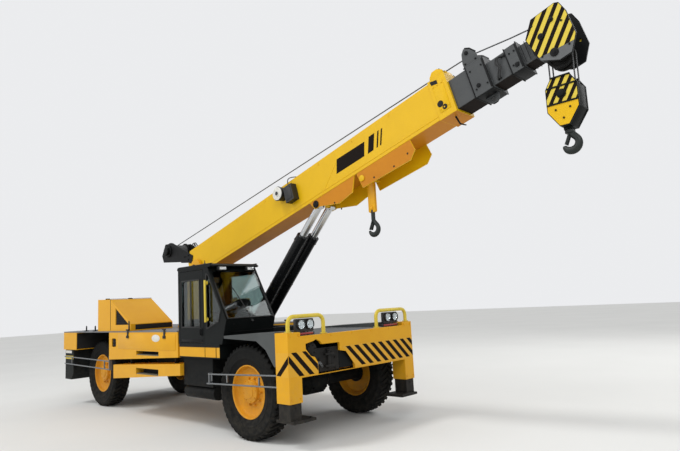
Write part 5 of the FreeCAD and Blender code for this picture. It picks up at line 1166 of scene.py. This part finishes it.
piece("boom_plate_holes", marks, void_black, "boom_outer", BOOM)
stub = bmesh.new()
add_rod(stub, (2.93, -0.08, -0.005), (2.955, -0.08, -0.13), 0.012, tip=0.010, sides=14)
add_rod(stub, (2.955, -0.08, -0.13), (3.02, -0.08, -0.185), 0.010, tip=0.007, sides=14)
add_block(stub, (2.93, -0.08, -0.004), (0.10, 0.07, 0.010), 0.003)
piece("hook_stow_hanger", stub, black_steel, "boom_outer", BOOM)
bosses = bmesh.new()
for side in (-1, 1):
    add_rod(bosses, (1.403, side * 0.186, -0.107), (1.403, side * 0.200, -0.107), 0.045, sides=28,
            edge=0.004)
    add_rod(bosses, (-2.75, side * 0.186, 0.10), (-2.75, side * 0.202, 0.10), 0.105, sides=36, edge=0.004)
for side in (-1, 1):
    add_plate(bosses, [(along, side * 0.166, up) for along, up in
                           ((2.805, 0.515), (2.822, 0.575), (2.872, 0.626), (2.948, 0.626), (3.012, 0.580),
                            (3.026, 0.515))], (0, side * 0.018, 0), 0.004)
    add_block(bosses, (1.33, side * 0.1875, 0.008), (2.00, 0.005, 0.016), 0.001)
piece("boom_pin_bosses", bosses, boom_paint, "boom_outer", BOOM)
# Painted shade: a film of deeper amber over the boom's underside and over the outer faces of the lug plates
# below it stands for the shade under the boom.
underside_shade_paint = sprayed_paint("amber_painted_shade_film", "#C47E13", "#BA7512", 0.5, dust_share=0.0)
under = bmesh.new()
for start, end, wide, low in ((-2.95, 0.34, 0.364, 0.0), (0.34, 2.33, 0.340, 0.0), (2.33, 2.775, 0.364, 0.0),
                              (2.785, 3.025, 0.392, -0.014)):
    add_block(under, ((start + end) / 2, 0, low - 0.0008), (end - start, wide, 0.001))
for side in (-1, 1):
    for corners in ([(0.36, -0.003), (0.428, -0.124), (0.52, -0.124), (0.90, -0.245), (1.175, -0.206),
                     (1.284, -0.003)],
                    [(1.336, -0.003), (1.375, -0.231), (2.213, -0.246), (2.316, -0.158), (2.286, -0.003)]):
        add_plate(under, [(along, side * 0.1855, up) for along, up in corners], (0, side * 0.001, 0))
piece("boom_underside_painted_shade", under, underside_shade_paint, "boom_outer", BOOM)
roller = bmesh.new()
add_rod(roller, (2.962, -0.170, 0.605), (2.962, 0.170, 0.605), 0.020, sides=24, edge=0.004)
for side in (-1, 1):
    add_block(roller, (2.962, side * 0.060, 0.575), (0.055, 0.008, 0.085), 0.003)
piece("collar_rope_roller", roller, black_steel, "boom_outer", BOOM)

# Cable reel.
# A spring reel for the head's electric cable: a black moulded case and a drum whose white face is bolted
# on, its short cable led over the boom's top edge.
REEL = (-0.15, 0.38)
dress(black_plastic, "cable_reel")
reel = bmesh.new()
take_in(reel, turned([(0.0, 0.0), (0.098, 0.0), (0.102, 0.004), (0.102, 0.010), (0.094, 0.012),
                      (0.050, 0.010), (0.046, 0.018), (0.0, 0.018)], 48),
        aim((REEL[0], -0.307, REEL[1]), (0, -1, 0)))
for spot in around((REEL[0], -0.316, REEL[1]), 0.074, 6):
    add_nut(reel, spot, (0, -0.007, 0), 0.008)
piece("cable_reel_face", reel, plate_white, "boom_outer", BOOM)
reel_centre = bmesh.new()
add_rod(reel_centre, (REEL[0], -0.324, REEL[1]), (REEL[0], -0.331, REEL[1]), 0.030, sides=24, edge=0.003)
add_ring(reel_centre, (REEL[0], -0.300, REEL[1]), (0, 1, 0), 0.106, 0.006, 48)
add_block(reel_centre, (0.072, -0.299, 0.285), (0.13, 0.006, 0.19), 0.003)
for up in (0.20, 0.37):
    for along in (0.02, 0.125):
        add_nut(reel_centre, (along, -0.301, up), (0, -0.006, 0), 0.007)
piece("cable_reel_rims", reel_centre, black_plastic, "boom_outer", BOOM)
hose("reel_cable", [(0.05, -0.24, 0.405), (0.05, -0.24, 0.46), (0.06, -0.235, 0.53), (0.10, -0.20, 0.55),
                    (0.15, -0.13, 0.545), (0.20, -0.10, 0.525), (0.22, -0.09, 0.50)], 0.007, rubber,
     "boom_outer", BOOM)

# Winch.
# A grooved steel drum wound with wire rope between flanges, a gear motor on one side and a bolted bearing
# on the other, fed by two hoses.
DRUM_X, DRUM_UP = -3.70, 2.90
HOSE_PORTS = (-3.72, -3.66)
dress(black_steel, "winch_frame", "winch_drum")
soften(0.004, "winch_frame")
rope_wire = lay_pattern(new_finish("wire_rope", "#4C4D4E", Metallic=0.6, Roughness=0.5), "TexWave",
                        {"Scale": 26, "Distortion": 0.4}, tones=("#2B2B2B", "#6C6D6E"), relief=(0.6, 0.002),
                        bands_direction="DIAGONAL")
wraps = bmesh.new()
for step in range(17):
    y = -0.140 + 0.0175 * step
    loop = [spot.xz for spot in around((0.1245, 0, y), 0.008, 8)]
    take_in(wraps, turned(loop, 36), aim(at(DRUM_X, 0, DRUM_UP), (0, 1, 0)))
piece("drum_rope_wraps", wraps, rope_wire, "drum")
motor = bmesh.new()
for side, length in ((-1, 0.05), (1, 0.16)):
    add_rod(motor, at(DRUM_X, side * 0.200, DRUM_UP), at(DRUM_X, side * 0.222, DRUM_UP), 0.115, sides=36,
            edge=0.003)
    add_rod(motor, at(DRUM_X, side * 0.222, DRUM_UP), at(DRUM_X, side * (0.222 + length), DRUM_UP), 0.075,
            sides=32, edge=0.006)
    for spot in around(at(DRUM_X, side * 0.222, DRUM_UP), 0.097, 8):
        add_nut(motor, spot, (0, side * 0.010, 0), 0.009)
for x in HOSE_PORTS:
    add_nut(motor, at(x, 0.34, 2.96), (0, 0, 0.04), 0.014)
for side in (-1, 1):
    for x, z in ((-3.0, 2.68), (-3.12, 2.74), (-3.0, 2.76)):
        add_nut(motor, at(x, side * 0.199, z), (0, side * 0.012, 0), 0.014)
piece("winch_motor", motor, black_steel, "boom_outer")
for index, x in enumerate(HOSE_PORTS):
    route = [at(x, 0.34, 3.0), at(x, 0.34, 3.05), at(x + 0.05, 0.33, 3.09), at(x + 0.20, 0.27, 3.05),
             at(x + 0.38, 0.215, 2.92), at(x + 0.55, 0.208, 2.82), at(x + 0.72, 0.205, 2.80)]
    hose(f"winch_hose_{index}", route, 0.010, rubber, "boom_outer")

# Telescopic sections.
# Three grey welded boxes, a black film below each standing for grease and painted shade. The second and third
# have a bolted black collar at the mouth; the second carries the rope guide plates, the third the looped
# hoses of the head's line.
TAIL = -2.4
section_paint = sprayed_paint("grey_section_paint", "#454748", "#4D4F50", 0.5, dust_share=0.0)
dress(section_paint, "boom_section_2", "boom_section_3", "boom_section_4")
soften(0.004, "boom_section_2", "boom_section_3", "boom_section_4")
for body, half, low, high, mouth, collar in (("boom_second", 0.16, 0.015, 0.40, 3.28, 3.53),
                                             ("boom_third", 0.135, 0.03, 0.325, 3.76, 3.92)):
    shape = bmesh.new()
    wide = half + 0.016
    for along in (mouth + 0.006, collar - 0.006):
        for side in (-1, 1):
            add_block(shape, (along, side * wide, (low + high) / 2), (0.012, 0.010, high - low + 0.045),
                      0.002)
        add_block(shape, (along, 0, high + 0.018), (0.012, wide * 2, 0.010), 0.002)
        add_block(shape, (along, 0, low - 0.018), (0.012, wide * 2, 0.010), 0.002)
    add_block(shape, ((mouth + collar) / 2, 0, low - 0.018), (collar - mouth, wide * 2 - 0.01, 0.003), 0.001)
    # A black strip along each collar's front edge is partly its black edging and partly painted shade in the
    # gap where the next section comes out.
    for side in (-1, 1):
        add_block(shape, (collar - 0.014, side * (wide + 0.001), (low + high) / 2),
                  (0.028, 0.004, high - low), 0.001)
        for along in (mouth + 0.05, collar - 0.05):
            for up in (low + 0.07, high - 0.07):
                add_nut(shape, (along, side * (wide - 0.002), up), (0, side * 0.011, 0), 0.010)
        add_rod(shape, (mouth + 0.09, side * wide, (low + high) / 2 - 0.09),
                (mouth + 0.09, side * (wide + 0.008), (low + high) / 2 - 0.09), 0.026, sides=24, edge=0.002)
    piece(body + "_collar_fittings", shape, black_steel, body, BOOM)
# Black film under each section, standing partly for grease and partly for painted shade under the boom.
underside_grease_and_shade = (("boom_second", 0.152, 0.0145, 3.52), ("boom_third", 0.128, 0.0295, 3.91),
          ("boom_fourth", 0.104, 0.0445, 4.05))
for body, half, low, mouth in underside_grease_and_shade:
    shape = bmesh.new()
    add_block(shape, ((mouth + TAIL) / 2, 0, low), (mouth - TAIL, half * 2, FILM_THICK))
    piece(body + "_grease_and_shade_underside", shape, black_tape, body, BOOM)
guides = bmesh.new()
for side in (-1, 1):
    add_plate(guides, [(along, side * 0.145, up) for along, up in
                       ((3.268, 0.405), (3.268, 0.487), (3.294, 0.600), (3.335, 0.648), (3.370, 0.650),
                        (3.412, 0.622), (3.464, 0.542), (3.479, 0.435), (3.475, 0.405))],
              (0, side * 0.010, 0), 0.003)
    add_plate(guides, [(along, side * 0.155, up) for along, up in
                       ((3.262, 0.405), (3.262, 0.420), (3.486, 0.420), (3.486, 0.405))],
              (0, side * 0.020, 0), 0.002)
piece("rope_guide_plates", guides, section_paint, "boom_second", BOOM)
fin = bmesh.new()
for side in (-1, 1):
    add_rod(fin, (3.357, side * 0.155, 0.582), (3.357, side * 0.168, 0.582), 0.024, sides=20, edge=0.003)
    for along, up in ((3.30, 0.46), (3.44, 0.45)):
        add_nut(fin, (along, side * 0.155, up), (0, side * 0.009, 0), 0.011)
    add_rod(fin, (3.412, side * 0.155, 0.616), (3.470, side * 0.155, 0.532), 0.007, sides=10)
    add_rod(fin, (3.357, side * 0.155, 0.650), (3.412, side * 0.155, 0.616), 0.007, sides=10)
add_rod(fin, (3.357, -0.146, 0.582), (3.357, 0.146, 0.582), 0.020, sides=24, edge=0.002)
for side in (-1, 1):
    for along, up in ((3.33, 0.46), (3.44, 0.44), (3.36, 0.56), (3.41, 0.50)):
        add_nut(fin, (along, side * 0.060, up), (0, side * 0.008, 0), 0.010)
    add_rod(fin, (3.357, side * 0.060, 0.582), (3.357, side * 0.070, 0.582), 0.022, sides=20, edge=0.002)
add_ring(fin, (3.415, 0, -0.055), (0, 1, 0), 0.042, 0.010, 28)
piece("rope_fin_fittings", fin, black_steel, "boom_second", BOOM)
LINE_ROUTE = [(3.60, -0.140, 0.06), (3.60, -0.160, 0.06), (3.62, -0.172, 0.10), (3.665, -0.176, 0.17),
              (3.63, -0.176, 0.235), (3.66, -0.172, 0.29), (3.70, -0.160, 0.28), (3.72, -0.140, 0.28)]
for index, shift in enumerate((0.0, 0.026)):
    hose(f"head_line_hose_{index}", [(along + shift, across, up) for along, across, up in LINE_ROUTE], 0.008,
         rubber, "boom_third", BOOM)
unions = bmesh.new()
for along, up in ((3.60, 0.06), (3.626, 0.06), (3.72, 0.28), (3.746, 0.28)):
    add_nut(unions, (along, -0.133, up), (0, -0.017, 0), 0.013)
for side in (-1, 1):
    for along in (3.95, 4.0):
        add_block(unions, (along, side * 0.137, 0.17), (0.008, 0.002, 0.24))
piece("head_line_unions", unions, black_steel, "boom_third", BOOM)

# Boom head.
# Two plates welded to the last section carry two lower sheaves and one above on greased pins. The plates'
# upper part is pale yellow tape with slanted black bars, the lower part grey.
SHEAVE_WIDE = 0.044
SHEAVE_HOLES = 6
ROPE_PLACES = (-0.052, 0.052)
head_grey = sprayed_paint("grey_head_enamel", "#5A5C5D", "#656768", 0.45, dust_share=0.0)
dress(black_steel, "boom_head")
soften(0.003, "boom_head")
HEAD = [(4.041, 0.258), (4.168, 0.432), (4.437, 0.443), (4.480, 0.420), (4.512, 0.300), (4.514, 0.012),
        (4.476, -0.048), (4.096, -0.010)]
head_ground, head_bars, head_dark, head_low = bmesh.new(), bmesh.new(), bmesh.new(), bmesh.new()
for side in (-1, 1):
    face = side * 0.1875
    outline = [Vector((along, face, up)) for along, up in HEAD]
    add_plate(head_ground, outline, (0, side * 0.001, 0))
    add_plate(head_low, [Vector((along, face, up)) for along, up in
                         ((4.096, -0.012), (4.476, -0.050), (4.411, -0.149), (4.277, -0.155),
                          (4.104, -0.050))],
              (0, side * 0.001, 0))
    bars = [[Vector((start + shift, face + side * FILM_THICK, up))
             for shift, up in ((0, -0.10), (0.064, -0.10), (0.664, 0.50), (0.600, 0.50))]
            for start in (3.633 + 0.135 * step for step in range(7))]
    lift = Vector((0, side * FILM_THICK, 0))
    add_bars(head_bars, [corner + lift for corner in outline], bars, lift)
    for along, up, radius in ((4.258, -0.05, 0.046), (4.35, 0.30, 0.028), (4.195, 0.193, 0.034)):
        add_rod(head_dark, (along, side * 0.187, up), (along, side * 0.200, up), radius, sides=32, edge=0.003)
        add_nut(head_dark, (along, side * 0.199, up), (0, side * 0.007, 0), radius * 0.35)
    for along, up in ((4.42, -0.06), (4.13, -0.02), (4.30, 0.12), (4.15, 0.36), (4.44, 0.22)):
        add_nut(head_dark, (along, side * 0.1865, up), (0, side * 0.0075, 0), 0.012)
piece("head_grey_faces", head_low, head_grey, "boom_fourth", BOOM)
piece("head_tape_ground", head_ground, pale_tape, "boom_fourth", BOOM)
piece("head_tape_bars", head_bars, black_tape, "boom_fourth", BOOM)
piece("head_pin_caps", head_dark, black_steel, "boom_fourth", BOOM)
sheave_iron = sprayed_paint("cast_iron_sheave", "#151515", "#22201D", 0.5, dust_share=0.0)


def add_sheave(shape, middle, radius, bore):
    """A rope wheel: rims either side of a V groove, a thin web and a long hub."""
    half = SHEAVE_WIDE / 2
    take_in(shape, turned([(bore, half), (bore + 0.022, half), (bore + 0.024, half * 0.5),
                           (radius - 0.034, half * 0.45), (radius - 0.026, half * 0.95), (radius, half),
                           (radius, half - 0.006), (radius - 0.015, 0.005), (radius - 0.0155, 0.0),
                           (radius - 0.015, -0.005), (radius, 0.006 - half), (radius, -half),
                           (radius - 0.026, -half * 0.95), (radius - 0.034, -half * 0.45),
                           (bore + 0.024, -half * 0.5), (bore + 0.022, -half), (bore, -half)], 56),
            aim(middle, (0, 1, 0)))
    for spot in around(middle, radius * 0.52, SHEAVE_HOLES):
        add_rod(shape, spot - Vector((0, half * 0.55, 0)), spot + Vector((0, half * 0.55, 0)), radius * 0.1,
                sides=16, edge=0.002)


head_wheels = bmesh.new()
for y in ROPE_PLACES:
    add_sheave(head_wheels, (4.258, y, -0.05), 0.135, 0.0285)
add_sheave(head_wheels, (4.35, 0, 0.30), 0.11, 0.0245)
made = piece("turned_head_sheaves", head_wheels, sheave_iron, "boom_fourth", BOOM)
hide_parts("head_sheaves")

# Hoist rope.
# Galvanised wire rope from the drum over the collar's roller and the guide plates to the head's top sheave,
# and round the lower sheaves. The last three runs are baked in place and ride on no body.
FALLS = 4.1197
ROPE_RADIUS = 0.008
RUNS = (("drum", "boom_outer", None, BOOM.inverted() @ at(DRUM_X, 0.0, 3.03), (2.962, 0.0, 0.633)),
        ("collar", "boom_outer", "boom_second", (2.962, 0.0, 0.633), (3.357, 0.0, 0.612)),
        ("fin", "boom_second", "boom_third", (3.357, 0.0, 0.612), (3.84, 0.0, 0.500)),
        ("head", "boom_third", "boom_fourth", (3.84, 0.0, 0.500), (4.33, 0.0, 0.405)))
for name, body, next_body, start, end in RUNS:
    shape = bmesh.new()
    add_rod(shape, start, end, ROPE_RADIUS, sides=12)
    made = piece("hoist_rope_" + name, shape, rope_wire, None if next_body else body, BOOM)
    if next_body:
        tuple(BOOM @ Vector(start))
        tuple(BOOM @ Vector(end))
        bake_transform(made)
dress(rope_wire, "rope_falls")
over = bmesh.new()
for y in ROPE_PLACES:
    loop = [spot.xz for spot in around((0.1285, 0, 0), ROPE_RADIUS, 8)]
    arc = turned(loop, 48)
    bmesh.ops.bisect_plane(arc, geom=arc.verts[:] + arc.edges[:] + arc.faces[:], plane_co=(0, 0, 0),
                           plane_no=(0, -1, 0), clear_outer=True)
    take_in(over, arc, aim(at(FALLS, y, 4.1925), (0, 1, 0)))
piece("rope_over_head", over, rope_wire, "boom_fourth")

# Hook block.
# Steel cheeks and end guards in green-black enamel round two grooved sheaves. The cheeks' outer faces are
# striped above a black band and plain yellow below; the pin has round caps.
block_paint = sprayed_paint("green_black_block_enamel", "#0B0F0D", "#111513", 0.5, dust_share=0.0, gloss=0.1)
dress(block_paint, "hook_block")
soften(0.003, "hook_block")
block_dark, block_yellow, block_pale, block_bars = bmesh.new(), bmesh.new(), bmesh.new(), bmesh.new()
for side in (-1, 1):
    face = side * 0.1245
    add_plate(block_yellow, [at(FALLS + along, face, up) for along, up in
                             ((-0.047, 3.428), (0.047, 3.428), (0.160, 3.594), (0.160, 3.655),
                              (-0.160, 3.655), (-0.160, 3.594))], (0, side * 0.002, 0))
    outline = [at(FALLS + along, face, up) for along, up in
               ((-0.160, 3.672), (0.160, 3.672), (0.160, 3.838), (0.097, 3.942), (-0.097, 3.942),
                (-0.160, 3.838))]
    add_plate(block_pale, outline, (0, side * 0.001, 0))
    lift = Vector((0, side * FILM_THICK, 0))
    bars = [[at(FALLS + start + shift, face, up) + lift
             for shift, up in ((0, 3.66), (0.045, 3.66), (0.215, 3.95), (0.170, 3.95))]
            for start in (-0.34 + 0.094 * step for step in range(7))]
    add_bars(block_bars, [corner + lift for corner in outline], bars, lift)
    for up, half in ((3.664, 0.166), (3.845, 0.155)):
        add_block(block_dark, at(FALLS, side * 0.129, up), (half * 2, 0.010, 0.018), 0.002)
    add_block(block_dark, at(FALLS, side * 0.124, 3.948), (0.21, 0.030, 0.016), 0.003)
    for low, high, radius, sides in ((0.124, 0.134, 0.050, 36), (0.140, 0.147, 0.034, 32)):
        add_rod(block_dark, at(FALLS, side * low, 3.76), at(FALLS, side * high, 3.76), radius, sides=sides,
                edge=0.003)
    for along, up in ((-0.075, 3.60), (0.075, 3.60), (0.0, 3.50)):
        add_nut(block_dark, at(FALLS + along, side * 0.125, up), (0, side * 0.010, 0), 0.011)
for end in (-1, 1):
    add_plate(block_dark, [at(FALLS + end * along, -0.1, up) for along, up in
                           ((0.165, 3.595), (0.165, 3.838), (0.156, 3.838), (0.156, 3.598), (0.050, 3.432),
                            (0.050, 3.421))], (0, 0.2, 0), 0.001)
add_rod(block_dark, at(FALLS, 0, 3.395), at(FALLS, 0, 3.42), 0.060, sides=6)
piece("block_yellow_faces", block_yellow, boom_paint, "block")
piece("block_tape_ground", block_pale, pale_tape, "block")
piece("block_tape_bars", block_bars, black_tape, "block")
piece("block_guards_and_caps", block_dark, block_paint, "block")

# Hooks.
# Forged steel, round in section, thick at the bowl and drawn to a point, each with a sprung latch. The
# fixed one hangs on an amber link plate with an eye.
BOWL = 0.078
LINK_X = 1.3814
CORNERS = 18
forged = sprayed_paint("oiled_forged_steel", "#171E1C", "#232826", 0.45, dust_share=0.0, gloss=0.3)
BEND = [(0.0, 1.95, 1.0), (0.0, 1.62, 1.0), (0.12, 1.36, 0.98), (0.42, 1.02, 0.98)]
BEND += [(math.sin(math.radians(turn)), math.cos(math.radians(turn)), thick)
         for turn, thick in ((50, 1), (75, 1.05), (100, 1.12), (125, 1.18), (150, 1.2), (175, 1.2),
                             (200, 1.12), (222, 0.96), (242, 0.72), (256, 0.45))]


def add_hook(shape, x, low, thick, top):
    """A hook's rings of points round its line, joined by skin and closed at both ends."""
    middle = at(x, 0, low + BOWL + thick * 1.2)
    spots = [(at(x, 0, top), thick)] + [(middle + Vector((along, 0, up)) * BOWL, thick * share)
                                        for along, up, share in BEND]
    dense = []
    for index in range(len(spots) - 1):
        before, (here, wide), (there, wide_next) = spots[max(index - 1, 0)][0], spots[index], spots[index + 1]
        after = spots[min(index + 2, len(spots) - 1)][0]
        for step in range(3):
            share = step / 3
            dense.append((0.5 * (2 * here + (there - before) * share
                                 + (2 * before - 5 * here + 4 * there - after) * share ** 2
                                 + (3 * here - before - 3 * there + after) * share ** 3),
                          wide + (wide_next - wide) * share))
    dense.append(spots[-1])
    part = bmesh.new()
    rings = []
    for index, (spot, wide) in enumerate(dense):
        way = (dense[min(index + 1, len(dense) - 1)][0] - dense[max(index - 1, 0)][0]).normalized()
        across = way.cross(Vector((0, 1, 0))).normalized()
        ring = []
        for corner in range(CORNERS):
            angle = math.radians(360 / CORNERS * corner)
            off = across * math.cos(angle) + Vector((0, 0.86, 0)) * math.sin(angle)
            ring.append(part.verts.new(spot + off * wide))
        rings.append(ring)
    for ring, following in zip(rings, rings[1:]):
        for corner in range(CORNERS):
            after = (corner + 1) % CORNERS
            part.faces.new((ring[corner], ring[after], following[after], following[corner]))
    part.faces.new(rings[0])
    part.faces.new(rings[-1])
    take_in(shape, part)


HOOKS = (("forged_main_hook", "main_hook", FALLS, 3.13, 0.036, 3.47, "block_hook"),
         ("forged_link_hook", "fixed_hook", LINK_X, 2.59, 0.030, 2.96, "link_hook"))
for name, node, x, low, thick, top, body in HOOKS:
    shape = bmesh.new()
    add_hook(shape, x, low, thick, top)
    bowl_z = low + BOWL + thick * 1.2
    for side in (-1, 1):
        add_plate(shape, [at(x + along, side * 0.026, bowl_z + up) for along, up in
                          ((0.012, 0.118), (-0.004, 0.125), (-0.062, -0.006), (-0.044, -0.012))],
                  (0, side * 0.005, 0), 0.001)
    add_block(shape, at(x - 0.028, 0, bowl_z + 0.054), (0.008, 0.056, 0.135), 0.002, (0, 24, 0))
    add_rod(shape, at(x + 0.008, -0.038, bowl_z + 0.118), at(x + 0.008, 0.038, bowl_z + 0.118), 0.010,
            sides=14, edge=0.002)
    if node == "main_hook":
        add_rod(shape, at(x, 0, low + 0.225), at(x, 0, low + 0.262), 0.052, sides=6, edge=0.003)
    made = piece(name, shape, forged, body)
    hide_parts(node)
link = bmesh.new()
part = turned([(0.0225, 0.022), (0.060, 0.022), (0.060, -0.022), (0.0225, -0.022)], 48)
take_in(link, part, aim(at(LINK_X, 0, 3.3827), (0, 1, 0)))
for side in (-1, 1):
    add_block(link, at(LINK_X, side * 0.0125, 3.14), (0.12, 0.018, 0.40), 0.004)
    add_rod(link, at(LINK_X, side * 0.0215, 2.99), at(LINK_X, side * 0.034, 2.99), 0.022, sides=24,
            edge=0.003)
add_block(link, at(LINK_X, 0, 2.955), (0.11, 0.042, 0.05), 0.010)
made = piece("hook_link_plate", link, body_paint, "link_hook")
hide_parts("fixed_hook")
